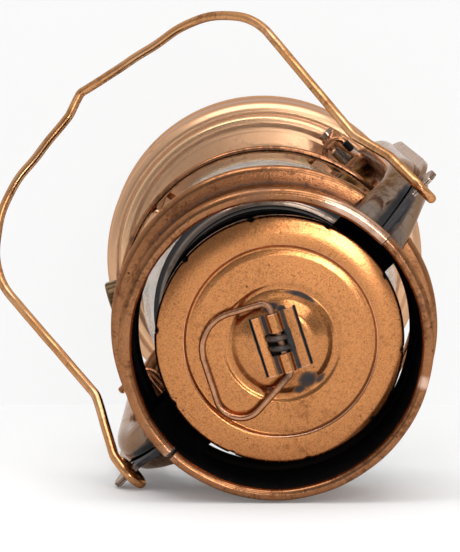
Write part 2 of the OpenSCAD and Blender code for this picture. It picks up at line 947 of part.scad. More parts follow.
module lever_post() {
    color(copper)
        difference() {
            union() {
                pivot_axis()
                    cylinder(r = 4, h = lever_y - 3.2);
                pivot_axis()
                    cylinder(r = 1.6, h = lever_y + 3.6);
                pivot_axis()
                    translate([0, 0, lever_y + 2.8])
                        cylinder(r = 2.8, h = 1.4);
            }
            mirror([1, 0, 0])
                tube_sweep(66, 5)
                    tube_section(0);
            translate([-big / 2, -4, 0])
                cube([big, big, big]);
        }
}

module lift_lever() {
    color(copper)
        difference() {
            union() {
                pivot_axis()
                    translate([0, 0, lever_y - 2.4])
                        cylinder(r = 3.4, h = 4.8);
                translate([-pivot_x, -lever_y, pivot_mid_z])
                    rotate([0, 0, atan2(loop_path[0][1], loop_path[0][0])])
                        rotate([0, atan2(norm([loop_path[0][0], loop_path[0][1]]), loop_mid_z - pivot_mid_z), 0])
                            cylinder(r = guard_wire_r, h = norm([loop_path[0][0], loop_path[0][1],
                                loop_mid_z - pivot_mid_z]) + guard_wire_r / 2);
                translate([-pivot_x, -lever_y, loop_mid_z])
                    flat_wire(loop_path, guard_wire_r);
                translate([-pivot_x, -lever_y, pivot_mid_z])
                    rotate([0, 90 + atan2(pivot_mid_z - tip_z + tip_sink, tip_x), 0])
                        cylinder(r = guard_wire_r, h = norm([tip_x, pivot_mid_z - tip_z + tip_sink]));
                translate([-pivot_x + tip_x, -lever_y + 2.5, tip_z])
                    rotate([90, 0, 0])
                        cylinder(r = tip_r, h = 5);
            }
            pivot_axis()
                cylinder(r = 1.6 + pin_play, h = 40);
        }
}

// Hood: bell, chimney, cap, bracket and spring.
module hood_bell() {
    color(copper)
        rotate_extrude() {
            translate([bell_out_r - sheet, bell_low_z])
                square([sheet, bell_top_z - bell_low_z]);
            translate([globe_top_r - glass_t - 0.5, web_z])
                square([bell_out_r - globe_top_r + glass_t + 0.5, sheet]);
        }
}

module hood_chimney() {
    color(soot)
        difference() {
            translate([0, 0, web_z + sheet])
                cylinder(r = chimney_out_r, h = chimney_top - web_z - sheet);
            translate([0, 0, web_z])
                cylinder(r = chimney_in_r, h = 100);
            for (i = [0 : 7])
                rotate([0, 0, 22.5 + i * 45])
                    translate([20, -6, guide_top_z - 4])
                        cube([20, 12, 8]);
            translate([-50, bracket_y - bar_w / 2 - 0.6, slot_low])
                cube([100, bar_w + 1.2, bar_low_z + bar_t + 0.6 - slot_low]);
        }
}

module cap_outline(t) {
    intersection() {
        translate([cap_arc_c, cap_arc_z])
            circle(r = cap_arc_r - t);
        translate([groove_r + t, cap_rim_z - 1])
            square([cap_out_r - t - groove_r - t, 20]);
    }
    translate([0, cap_rim_z - 1])
        square([groove_r - 0.6 - t, cap_level_z - t - cap_rim_z + 1]);
    translate([0, cap_rim_z - 1])
        square([groove_r + 1, cap_level_z - 0.8 - t - cap_rim_z + 1]);
    polygon([[0, cap_rim_z], [boss_r - t / 2, cap_rim_z], [boss_r - t / 2, cap_level_z - t],
        [boss_r - 4.4 - t / 2, boss_top_z - t], [0, boss_top_z - t]]);
}

module hood_cap() {
    color(copper)
        difference() {
            rotate_extrude()
                difference() {
                    cap_outline(0);
                    cap_outline(sheet);
                    translate([0, cap_rim_z - 20])
                        square([big, 20]);
                    translate([-big, 0])
                        square([big, big]);
                }
            for (i = [0 : notches - 1])
                rotate([0, 0, 22.65 + i * 360 / notches])
                    translate([cap_out_r + 0.1, 0, cap_rim_z - 1])
                        cylinder(r = 1.1, h = 20);
            bracket_axis()
                for (u = [-1, 1])
                    for (s = [-1, 1])
                        translate([u * prong_gap, s * hook_gap, 0])
                            cylinder(r = hook_r + rest_gap, h = big);
        }
}

module bracket_axis() {
    translate([bracket_x, bracket_y, 0])
        rotate([0, 0, axle_angle])
            children();
}

module ring_bracket() {
    color(copper)
        bracket_axis()
            difference() {
                union() {
                    translate([-bracket_l / 2, -bracket_w / 2, boss_top_z + film])
                        cube([bracket_l, bracket_w, 0.9]);
                    translate([-bracket_l / 2, 0, axle_z])
                        rotate([0, 90, 0])
                            cylinder(r = ring_wire_r + 1.1, h = bracket_l);
                    translate([-bracket_l / 2, -ring_wire_r - 1.1, boss_top_z + film])
                        cube([bracket_l, 2 * ring_wire_r + 2.2, axle_z - boss_top_z - film]);
                }
                translate([-20, 0, axle_z])
                    rotate([0, 90, 0])
                        cylinder(r = ring_wire_r + pin_play, h = 40);
                translate([-3, -3.2, boss_top_z - 1])
                    cube([6, 6.4, 10]);
                translate([-20, -20, boss_top_z + film - 10])
                    cube([40, 40, 10]);
            }
}

// Two prongs over the axle, joined under the cap by a cross bar that the spring hangs on.
module spring_hook() {
    color(soot)
        bracket_axis() {
            for (u = [-prong_gap, prong_gap])
                translate([u, 0, 0]) {
                    translate([0, 0, axle_z])
                        rotate([90, 0, 90])
                            rotate_extrude(angle = 180)
                                translate([hook_gap, 0])
                                    circle(r = hook_r, $fn = 24);
                    for (s = [-1, 1])
                        translate([0, s * hook_gap, hook_low])
                            cylinder(r = hook_r - wire_step, h = axle_z - hook_low + wire_lead);
                    translate([0, -hook_gap - hook_r, hook_low])
                        rotate([-90, 0, 0])
                            cylinder(r = hook_r, h = spring_r + hook_gap + 2 * hook_r);
                }
            translate([-prong_gap - hook_r, spring_r, hook_low])
                rotate([0, 90, 0])
                    cylinder(r = hook_r, h = 2 * (prong_gap + hook_r));
        }
}

// Tension spring from the bar up to the hook, one unbroken tube.
spring_wire = 0.45;
spring_turns = 6.25;
spring_low = bar_low_z + bar_t;
spring_high = hook_low - hook_r;
coil_low = spring_low + 2;
coil_high = spring_high - 2;
spring_rings = 8 * 6 + 2;
// Middle of the wire at ring i: a short leg, the curls, a short leg.
function spring_at(i) =
    i == 0 ? [spring_r, 0, spring_low]
    : i == spring_rings + 2 ? [spring_r * cos(90), spring_r * sin(90), spring_high]
    : let (k = (i - 1) / spring_rings)
        [spring_r * cos(k * spring_turns * 360), spring_r * sin(k * spring_turns * 360),
            coil_low + k * (coil_high - coil_low)];
spring_pts = [for (i = [0 : spring_rings + 2]) spring_at(i)];
function unit(v) = v / norm(v);
function spring_way(i) =
    i <= 0 ? [0, 0, 1]
    : i >= len(spring_pts) - 1 ? [0, 0, 1]
    : unit(spring_pts[i + 1] - spring_pts[i - 1]);
function out_at(i) = unit([spring_pts[i][0], spring_pts[i][1], 0]);
function square_to(w, o) = unit(o - (o * w) * w);
spring_skin = [for (i = [0 : len(spring_pts) - 1])
    let (w = spring_way(i), a = square_to(w, out_at(i)), b = cross(w, a))
        for (j = [0 : 5]) spring_pts[i] + spring_wire * (cos(j * 60) * a + sin(j * 60) * b)];
spring_faces = concat(
    [[for (j = [0 : 5]) j]],
    [for (i = [0 : len(spring_pts) - 2]) for (j = [0 : 5])
        [i * 6 + j, (i + 1) * 6 + j, (i + 1) * 6 + (j + 1) % 6]],
    [for (i = [0 : len(spring_pts) - 2]) for (j = [0 : 5])
        [i * 6 + j, (i + 1) * 6 + (j + 1) % 6, i * 6 + (j + 1) % 6]],
    [[for (j = [5 : -1 : 0]) (len(spring_pts) - 1) * 6 + j]]);
spring_gap = min([for (i = [0 : len(spring_pts) - 1]) for (j = [i + 5 : 1 : len(spring_pts) - 1])
    norm(spring_pts[i] - spring_pts[j])]) - 2 * spring_wire;
echo(spring_least_gap = spring_gap);

module hood_spring() {
    color(steel)
        translate([bracket_x, bracket_y, 0])
            rotate([0, 0, axle_angle])
                polyhedron(spring_skin, spring_faces);
}

module lift_ring() {
    color(copper)
        bracket_axis()
            translate([0, 0, axle_z])
                rotate([ring_tilt, 0, 0])
                    mirror([0, 1, 0]) {
                        flat_wire(ring_path, ring_wire_r, wire_lead);
                        translate([-1.5, 0, 0])
                            rotate([0, 90, 0])
                                cylinder(r = ring_wire_r, h = 3);
                    }
}

// The ring lies on the cap's flat zone, a rest gap above it.
ring_rest_z = cap_level_z + rest_gap + ring_wire_r;
ring_tilt = asin((axle_z - ring_rest_z) / ring_reach);

// Bail: a bent wire with an eye curled in the upright plane at each end.
module bail() {
    color(copper)
        translate([0, 0, ear_mid_z])
            rotate([bail_drop, 0, 0])
                union() {
                    translate([0, 0, eye_r])
                        mirror([0, 1, 0])
                            flat_wire(bail_path, bail_wire_r, wire_lead);
                    for (s = [-1, 1])
                        translate([s * eye_x, 0, 0])
                            rotate([0, -90, 0])
                                rotate_extrude(angle = eye_sweep, $fn = 40)
                                    translate([eye_r, 0])
                                        circle(r = bail_wire_r, $fn = 24);
                }
}

tank_bottom();
tank_shell();
air_chamber();
filler_neck();
filler_gasket();
filler_cap();
burner_plate();
wick_tube();
burner_dome();
wick();
wick_shaft();
wick_knob();
shaft_sleeve();
tube_right_front();
tube_right_back();
tube_left_front();
tube_left_back();
crown_front();
crown_back();
inlet_right();
inlet_left();
chimney_guide();
spring_bar();
globe_plate();
globe();
guard_ring();
hoop_front();
hoop_back();
guide_prongs();
lever_post();
lift_lever();
hood_bell();
hood_chimney();
hood_cap();
ring_bracket();
spring_hook();
hood_spring();
lift_ring();
bail();
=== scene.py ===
"""Hurricane lantern in aged copper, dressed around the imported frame.

Shapes are worked out in millimetres and put into the meshes in metres. +Z is up, the origin lies on
the floor under the tank's centre, and -Y is the front, where the bail lies.
"""

from __future__ import annotations

import logging
import math
from dataclasses import dataclass, field
from enum import Enum
from typing import Any, Callable, Iterator, Sequence

import bpy
import numpy as np
from mathutils import Matrix, Vector

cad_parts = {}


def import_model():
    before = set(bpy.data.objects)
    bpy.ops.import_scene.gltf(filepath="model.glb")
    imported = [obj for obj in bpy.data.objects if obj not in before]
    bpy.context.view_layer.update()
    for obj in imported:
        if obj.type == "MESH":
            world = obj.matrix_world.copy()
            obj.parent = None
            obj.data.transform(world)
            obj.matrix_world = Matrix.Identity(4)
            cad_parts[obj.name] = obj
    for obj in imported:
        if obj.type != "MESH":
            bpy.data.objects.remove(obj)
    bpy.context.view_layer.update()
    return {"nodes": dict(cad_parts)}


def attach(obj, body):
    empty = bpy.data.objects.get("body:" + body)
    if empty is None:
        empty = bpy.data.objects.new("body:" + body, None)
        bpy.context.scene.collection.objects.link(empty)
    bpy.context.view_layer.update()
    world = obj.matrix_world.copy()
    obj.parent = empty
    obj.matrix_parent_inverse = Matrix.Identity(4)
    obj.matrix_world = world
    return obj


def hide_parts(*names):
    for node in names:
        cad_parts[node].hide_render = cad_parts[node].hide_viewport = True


LOG = logging.getLogger("lantern")
MM = 0.001
TAU = 2.0 * math.pi
TIP_RADII = np.array([0.35, 0.75, 0.95])
TIP_REACH = np.array([0.0, 0.13, 0.36])
Array = np.ndarray
Pair = tuple[float, float]
Triple = tuple[float, float, float]
Colour = Triple
Material = bpy.types.Material
Socket = bpy.types.NodeSocket
Piece = tuple[Any, ...]


# Shapes


@dataclass
class Skin:
    """A closed surface: points in millimetres, faces, and two masks for the finish.

    Attributes:
        points: Point positions, n by 3.
        quads: Four-cornered faces, m by 4.
        tris: Three-cornered faces, k by 3.
        wear_and_highlight: How far each point is lightened, 0 to 1: rubbed bright, and in places a painted
            highlight.
        soot: How far each point is blackened, 0 to 1: soot, and in places painted shade.
    """

    points: Array
    quads: Array
    tris: Array
    wear_and_highlight: Array
    soot: Array

    def outward(self) -> "Skin":
        """Turns the faces round if the volume they enclose comes out negative.

        Returns:
            The skin itself.
        """
        corners = self.points[np.concatenate([self.tris, self.quads[:, :3], self.quads[:, [0, 2, 3]]])]
        volume = np.einsum("ij,ij->", corners[:, 0], np.cross(corners[:, 1], corners[:, 2]))
        if volume < 0.0:
            self.quads = self.quads[:, ::-1]
            self.tris = self.tris[:, ::-1]
        return self

    def put(self, move: Callable[[Array], Array]) -> "Skin":
        """Moves all the points with a function of their positions."""
        self.points = move(self.points)
        return self

    @staticmethod
    def join(skins: Sequence["Skin"]) -> "Skin":
        """Puts several skins into one.

        Args:
            skins: The skins, each closed in itself.

        Returns:
            One skin with all their points and faces.
        """
        starts = np.cumsum([0] + [len(s.points) for s in skins[:-1]])
        rows = [(s.points, s.quads + n, s.tris + n, s.wear_and_highlight, s.soot) for s, n in zip(skins, starts)]
        return Skin(*(np.concatenate(column) for column in zip(*rows)))


class Ends(Enum):
    """How the first and the last ring of a loft are shut."""

    FAN = "fan"
    STRIP = "strip"
    JOINED = "joined"


def columns(*parts: Any) -> Array:
    """Arrays or numbers, spread to one shape and stacked along a new last axis."""
    return np.stack(np.broadcast_arrays(*parts), -1)


def unit(angle: Array) -> Array:
    """Cosine and sine of angles: points on a circle of radius 1."""
    return columns(np.cos(angle), np.sin(angle))


def loft(rings: Array, ends: Ends = Ends.FAN, wear_and_highlight: Any = 0.0, soot: Any = 0.0) -> Skin:
    """Closed skin over a grid of rings, where point j of a ring meets point j of the next.

    Args:
        rings: Rings along the first axis, the points of each closed loop along the second.
        ends: FAN shuts an end to its middle, STRIP joins point j to its opposite number, and JOINED
            carries the last ring on into the first.
        wear_and_highlight: Rubbed mask that also holds painted highlights, a number or one value per grid
            point.
        soot: Blackened mask, a number or one value per grid point.

    Returns:
        The skin, with its faces pointing outwards.
    """
    rows, around = rings.shape[:2]
    index = np.arange(rows * around).reshape(rows, around)
    first = index if ends is Ends.JOINED else index[:-1]
    second = np.roll(index, -1, axis=0) if ends is Ends.JOINED else index[1:]
    quads = columns(first, np.roll(first, -1, 1), np.roll(second, -1, 1), second).reshape(-1, 4)
    points = rings.reshape(-1, 3)
    masks = [np.broadcast_to(np.asarray(m, float), (rows, around)).ravel() for m in (wear_and_highlight, soot)]
    tris = np.zeros((0, 3), int)
    if ends is Ends.STRIP:
        side = np.arange(around // 2 - 1)
        strip = columns(side, side + 1, around - 2 - side, around - 1 - side)
        quads = np.concatenate([quads, index[0][strip][:, ::-1], index[-1][strip]])
    elif ends is Ends.FAN:
        middles = np.stack([rings[0].mean(0), rings[-1].mean(0)])
        low = columns(np.roll(index[0], -1), index[0], rows * around)
        high = columns(index[-1], np.roll(index[-1], -1), rows * around + 1)
        tris = np.concatenate([low, high])
        points = np.concatenate([points, middles])
        masks = [np.concatenate([m, [m[0], m[-1]]]) for m in masks]
    return Skin(points, quads, tris, masks[0], masks[1]).outward()


def around_axis(radius: Any, height: Any, turn: Array) -> Array:
    """Grid of points about the Z axis.

    Args:
        radius: Distance from the axis, a number, one per row or on the grid.
        height: Height, a number, one per row or on the grid.
        turn: Directions in radians, one per column or on the grid.

    Returns:
        The positions: radius times cosine, radius times sine, and height.
    """
    return columns(radius * np.cos(turn), radius * np.sin(turn), height)


def full_turn(steps: int) -> Array:
    """Evenly spaced directions of one turn, in radians, with the start not repeated."""
    return np.arange(steps) / steps * TAU


def extruded(loop: Array, span: Array) -> Array:
    """Rings of one outline (y, z) at several places along X."""
    return columns(span[:, None], loop[:, 0], loop[:, 1])


def at_height(flat: Array, height: Any) -> Array:
    """A flat path (x, y) put at a height, one for all points or one each."""
    return columns(flat[:, 0], flat[:, 1], height)


def squared(wave: Array, power: float) -> Array:
    """A sine or cosine made blunter by a power below 1, with its sign kept."""
    return np.sign(wave) * np.abs(wave) ** power


def lathe(profile: Array, steps: int, ends: Ends, wear_and_highlight: Any = 0.0, soot: Any = 0.0) -> Skin:
    """Turned surface: each profile point (radius, height) becomes a level circle about the Z axis.

    Args:
        profile: Radius and height, n by 2.
        steps: Points round a circle.
        ends: JOINED for a profile that closes on itself, FAN for one that starts and ends at the axis.
        wear_and_highlight: Rubbed mask that also holds painted highlights, one value per profile point or a
            number.
        soot: Blackened mask, one value per profile point or a number.

    Returns:
        The skin.
    """
    rings = around_axis(profile[:, :1], profile[:, 1:], full_turn(steps))
    wear_and_highlight, soot = (np.asarray(m, float).reshape(-1, 1) if np.ndim(m) else m for m in (wear_and_highlight, soot))
    return loft(rings, ends, wear_and_highlight, soot)


def bend_path(corners: Sequence[Sequence[float]], step: float) -> Array:
    """Flat path of straight runs with a round bend at each corner.

    Args:
        corners: Points (x, y, bend radius). The radius of the two end points isn't used.
        step: Spacing of the points that are given back, in millimetres.

    Returns:
        Points of the path, n by 2, evenly spaced.
    """
    spots = np.asarray([c[:2] for c in corners], float)
    trace = [spots[0][None]]
    for before, at, after, radius in zip(spots, spots[1:], spots[2:], [c[2] for c in corners[1:-1]]):
        into, out = at - before, after - at
        into, out = into / np.linalg.norm(into), out / np.linalg.norm(out)
        angle = math.atan2(into[0] * out[1] - into[1] * out[0], into @ out)
        if radius <= 0.0 or abs(angle) < 1e-6:
            trace.append(at[None])
            continue
        start = at - into * radius * math.tan(abs(angle) / 2)
        side = math.copysign(1.0, angle)
        centre = start + side * radius * np.array([-into[1], into[0]])
        swing = np.linspace(0.0, angle, max(6, int(abs(angle) * radius / step * 2)))[:, None]
        arm = start - centre
        trace.append(centre + np.cos(swing) * arm + np.sin(swing) * np.array([-arm[1], arm[0]]))
    trace.append(spots[-1][None])
    return resample(np.concatenate(trace), step)


def resample(path: Array, step: float) -> Array:
    """Points at even spacing along a path.

    Args:
        path: Points, n by any number of coordinates.
        step: Wanted spacing.

    Returns:
        The evenly spaced points, with both ends kept.
    """
    run = np.concatenate([[0.0], np.cumsum(np.linalg.norm(np.diff(path, axis=0), axis=1))])
    even = np.linspace(0.0, run[-1], max(2, int(round(run[-1] / step)) + 1))
    return np.stack([np.interp(even, run, path[:, k]) for k in range(path.shape[1])], -1)


def ways_along(path: Array, closed: bool = False) -> Array:
    """Unit directions along a path, by central differences."""
    ahead = np.roll(path, -1, 0) - np.roll(path, 1, 0) if closed else np.gradient(path, axis=0)
    return ahead / np.linalg.norm(ahead, axis=1, keepdims=True)


def wire(path: Array, upright: Array, radius: Any, sides: int = 16, closed: bool = False,
         wear_and_highlight: Any = 0.0, soot: Any = 0.0) -> Skin:
    """Round wire: at each path point a circle in the plane square to the way along the path.

    Args:
        path: Middle line, n by 3.
        upright: Direction square to the path, one for all points or one each.
        radius: Wire radius, one for all points or one each.
        sides: Points round the wire.
        closed: True if the path runs into its own start.
        wear_and_highlight: Rubbed mask that also holds painted highlights, per path point, or a number.
        soot: Blackened mask per path point, or a number.

    Returns:
        The skin, with rounded ends where the path is open.
    """
    radius = np.broadcast_to(np.asarray(radius, float), (len(path),)).copy()
    ways = ways_along(path, closed)
    first = np.broadcast_to(np.asarray(upright, float), path.shape)
    first = first - np.einsum("ij,ij->i", first, ways)[:, None] * ways
    first = first / np.linalg.norm(first, axis=1, keepdims=True)
    second = np.cross(ways, first)
    wear_and_highlight, soot = (np.broadcast_to(np.asarray(m, float), (len(path),)) for m in (wear_and_highlight, soot))
    if not closed:
        extra, short = len(TIP_RADII), (TIP_REACH - TIP_REACH[-1])[:, None]
        path = np.concatenate([path[0] + ways[0] * short * radius[0], path,
                               path[-1] - ways[-1] * short[::-1] * radius[-1]])
        first, second = (np.pad(a, ((extra, extra), (0, 0)), mode="edge") for a in (first, second))
        wear_and_highlight, soot = (np.pad(m, extra, mode="edge") for m in (wear_and_highlight, soot))
        radius = np.concatenate([TIP_RADII * radius[0], radius, TIP_RADII[::-1] * radius[-1]])
    turn = full_turn(sides)[None, :, None]
    circle = np.cos(turn) * first[:, None] + np.sin(turn) * second[:, None]
    rings = path[:, None] + circle * radius[:, None, None]
    ends = Ends.JOINED if closed else Ends.FAN
    return loft(rings, ends, wear_and_highlight[:, None], soot[:, None])


def sheet_loop(path: Array, half: float) -> Array:
    """Outline of a bent sheet: the path moved out by half its thickness, then back along the other side.

    Args:
        path: Middle line of the sheet, n by 2.
        half: Half its thickness.

    Returns:
        The closed outline.
    """
    ways = ways_along(path)
    aside = columns(-ways[:, 1], ways[:, 0]) * half
    return np.concatenate([path + aside, (path - aside)[::-1]])


def ease(value: Array, low: float, high: float) -> Array:
    """Smooth step: 0 below low, 1 above high, with no kink between."""
    t = np.clip((value - low) / (high - low), 0.0, 1.0)
    return t * t * (3.0 - 2.0 * t)


def hump(value: Array, centre: float, width: float, power: int = 2) -> Array:
    """Bell curve: 1 at the centre, falling off by the width, with a flatter top at a power of 4."""
    return np.exp(-(((value - centre) / width) ** power))


def turned(points: Array, degrees: float, axis: str) -> Array:
    """Points turned about an axis through the origin.

    Args:
        points: Positions, any shape that ends in 3.
        degrees: Angle.
        axis: X, Y or Z.

    Returns:
        The turned positions.
    """
    return points @ np.array(Matrix.Rotation(math.radians(degrees), 3, axis)).T


def placed(name: str, data: Any) -> bpy.types.Object:
    """Makes an object of a mesh, a lamp or a camera and puts it into the scene."""
    thing = bpy.data.objects.new(name, data)
    bpy.context.scene.collection.objects.link(thing)
    return thing


def make_piece(name: str, skin: Skin, material: Material, body: str, slot: str,
               stands_for: Sequence[str] = (), crease: float = 40.0) -> bpy.types.Object:
    """Puts a skin into a mesh object, dresses it and lets it ride on its body.

    Args:
        name: Name of the piece.
        skin: Its surface, in millimetres.
        material: Its finish.
        body: The CAD body that it moves with.
        slot: The record's material slot; not used.
        stands_for: CAD nodes that it replaces.
        crease: Edges sharper than this angle, in degrees, are shaded as edges.

    Returns:
        The new object.
    """
    mesh = bpy.data.meshes.new(name)
    corners = np.concatenate([skin.quads.ravel(), skin.tris.ravel()]).astype(np.int32)
    counts = np.concatenate([np.full(len(skin.quads), 4), np.full(len(skin.tris), 3)]).astype(np.int32)
    mesh.vertices.add(len(skin.points))
    mesh.vertices.foreach_set("co", (skin.points * MM).astype(np.float32).ravel())
    mesh.loops.add(len(corners))
    mesh.loops.foreach_set("vertex_index", corners)
    mesh.polygons.add(len(counts))
    mesh.polygons.foreach_set("loop_start", np.concatenate([[0], np.cumsum(counts)[:-1]]).astype(np.int32))
    mesh.update(calc_edges=True)
    mesh.validate()
    mesh.polygons.foreach_set("use_smooth", np.ones(len(mesh.polygons), bool))
    mesh.set_sharp_from_angle(angle=math.radians(crease))
    for mask, values in (("wear_and_highlight", skin.wear_and_highlight), ("soot", skin.soot)):
        layer = mesh.attributes.new(mask, "FLOAT", "POINT")
        layer.data.foreach_set("value", np.clip(values, 0.0, 1.0).astype(np.float32))
    mesh.materials.append(material)
    piece = placed(name, mesh)
    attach(piece, body)
    if stands_for:
        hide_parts(*stands_for)
    LOG.info("%s: %d faces, on %s", name, len(counts), body)
    return piece


# Finishes


class Term:
    """A value in a shader. Arithmetic on it adds Math nodes to its graph."""

    def __init__(self, graph: "Graph", socket: Socket) -> None:
        """Wraps an output socket of a graph's node."""
        self.graph = graph
        self.socket = socket

    def _math(self, operation: str, left: Any, right: Any, clamp: bool = False) -> "Term":
        """Adds one Math node and gives its result."""
        return self.graph.term("ShaderNodeMath", {"operation": operation, "use_clamp": clamp},
                               {0: left, 1: right})

    def __add__(self, other: Any) -> "Term":
        """This value plus another."""
        return self._math("ADD", self, other)

    def __sub__(self, other: Any) -> "Term":
        """This value less another."""
        return self._math("SUBTRACT", self, other)

    def __rsub__(self, other: Any) -> "Term":
        """Another value less this one."""
        return self._math("SUBTRACT", other, self)

    def __mul__(self, other: Any) -> "Term":
        """This value times another."""
        return self._math("MULTIPLY", self, other)

    __radd__ = __add__
    __rmul__ = __mul__

    def clamp(self) -> "Term":
        """This value held between 0 and 1."""
        return self._math("ADD", self, 0.0, clamp=True)

    def wave(self) -> "Term":
        """Sine of this value."""
        return self._math("SINE", self, 0.0)

    def over(self, low: float, high: float) -> "Term":
        """Smooth step of this value from 0 at low to 1 at high."""
        return self.graph.term("ShaderNodeMapRange", {"interpolation_type": "SMOOTHSTEP"},
                               {"Value": self, "From Min": low, "From Max": high})


class Graph:
    """The shader nodes of one material or of the world."""

    def __init__(self, tree: bpy.types.NodeTree) -> None:
        """Empties a node tree and starts a graph in it."""
        self.tree = tree
        tree.nodes.clear()
        self._place: bpy.types.Node | None = None

    def node(self, kind: str, settings: dict[str, Any], inputs: dict[Any, Any]) -> bpy.types.Node:
        """Makes one node.

        Args:
            kind: Blender's type name of the node.
            settings: Properties of the node, set first.
            inputs: Socket name or number, and the value, Term or socket that goes there.

        Returns:
            The node.
        """
        made = self.tree.nodes.new(kind)
        for key, value in settings.items():
            setattr(made, key, value)
        for key, value in inputs.items():
            value = value.socket if isinstance(value, Term) else value
            if isinstance(value, Socket):
                self.tree.links.new(value, made.inputs[key])
            else:
                made.inputs[key].default_value = value
        return made

    def term(self, kind: str, settings: dict[str, Any], inputs: dict[Any, Any], output: Any = 0) -> Term:
        """Makes one node, as node does, and wraps one of its outputs."""
        return Term(self, self.node(kind, settings, inputs).outputs[output])

    def place(self) -> Socket:
        """Object coordinates, in metres."""
        if self._place is None:
            self._place = self.node("ShaderNodeTexCoord", {}, {})
        return self._place.outputs["Object"]

    def stretched(self, scale: Sequence[float], turn: Sequence[float] = (0.0, 0.0, 0.0)) -> Socket:
        """Object coordinates turned and then scaled along each axis.

        Args:
            scale: Factor along each axis.
            turn: Turn about each axis, in radians.

        Returns:
            The vector socket.
        """
        made = self.node("ShaderNodeMapping", {"vector_type": "TEXTURE"},
                         {"Vector": self.place(), "Rotation": turn})
        made = self.node("ShaderNodeMapping", {}, {"Vector": made.outputs[0], "Scale": scale})
        return made.outputs[0]

    def axis(self, letter: str, vector: Socket | None = None) -> Term:
        """One coordinate of a vector, of the place itself if none is given."""
        return self.term("ShaderNodeSeparateXYZ", {}, {0: vector or self.place()}, letter)

    def noise(self, scale: float, detail: float = 3.0, roughness: float = 0.55,
              vector: Socket | None = None) -> Term:
        """Cloudy noise about 0.5.

        Args:
            scale: Waves a metre.
            detail: Number of finer layers.
            roughness: Strength of the finer layers.
            vector: Where it is looked up, the place itself if none is given.

        Returns:
            The noise.
        """
        inputs = {
            "Vector": vector or self.place(), "Scale": scale, "Detail": detail, "Roughness": roughness}
        return self.term("ShaderNodeTexNoise", {}, inputs, "Fac")

    def cells(self, scale: float) -> Term:
        """Distance to the nearest of scattered points, with scale in points a metre."""
        return self.term("ShaderNodeTexVoronoi", {}, {"Vector": self.place(), "Scale": scale}, "Distance")

    def mask(self, name: str) -> Term:
        """A point attribute of the piece, 0 where the piece has none."""
        return self.term("ShaderNodeAttribute", {"attribute_name": name}, {}, "Fac")

    def blend(self, share: Any, low: Any, high: Any) -> Socket:
        """Mix of two colours.

        Args:
            share: 0 for the first colour, 1 for the second.
            low: First colour, a triple or a socket.
            high: Second colour, a triple or a socket.

        Returns:
            The colour socket.
        """
        low, high = ((*c, 1.0) if isinstance(c, tuple) else c for c in (low, high))
        made = self.node("ShaderNodeMix", {"data_type": "RGBA"}, {0: share, 6: low, 7: high})
        return made.outputs[2]

    def bump(self, height: Term, strength: float, distance: float) -> Socket:
        """Normal that a height in units of distance, in metres, gives."""
        made = self.node("ShaderNodeBump", {}, {"Strength": strength, "Distance": distance, "Height": height})
        return made.outputs[0]

    def surface(self, shader: bpy.types.Node, kind: str = "ShaderNodeOutputMaterial") -> None:
        """Sends a shader to the output."""
        self.node(kind, {}, {"Surface": shader.outputs[0]})


def new_material(name: str) -> tuple[Material, Graph]:
    """Makes an empty node material."""
    material = bpy.data.materials.new(name)
    material.use_nodes = True
    return material, Graph(material.node_tree)


# Colours of soot, also used for painted shade.
SOOT_AND_SHADE_COLOUR: Colour = (0.006, 0.0055, 0.006)
SLATE_AND_SHADE_COLOUR: Colour = (0.042, 0.042, 0.045)


@dataclass(frozen=True)
class Finish:
    """A finish, which is built as one material.

    Attributes:
        name: Material name.
    """

    name: str

    def sockets(self, graph: Graph) -> dict[str, Any]:
        """Works out what goes into the shader.

        Args:
            graph: The material's graph, in which the nodes are made.

        Returns:
            Values, Terms or sockets by the name of the Principled shader's socket.
        """
        raise NotImplementedError

    def build(self) -> Material:
        """Makes the material."""
        material, graph = new_material(self.name)
        graph.surface(graph.node("ShaderNodeBsdfPrincipled", {}, self.sockets(graph)))
        return material


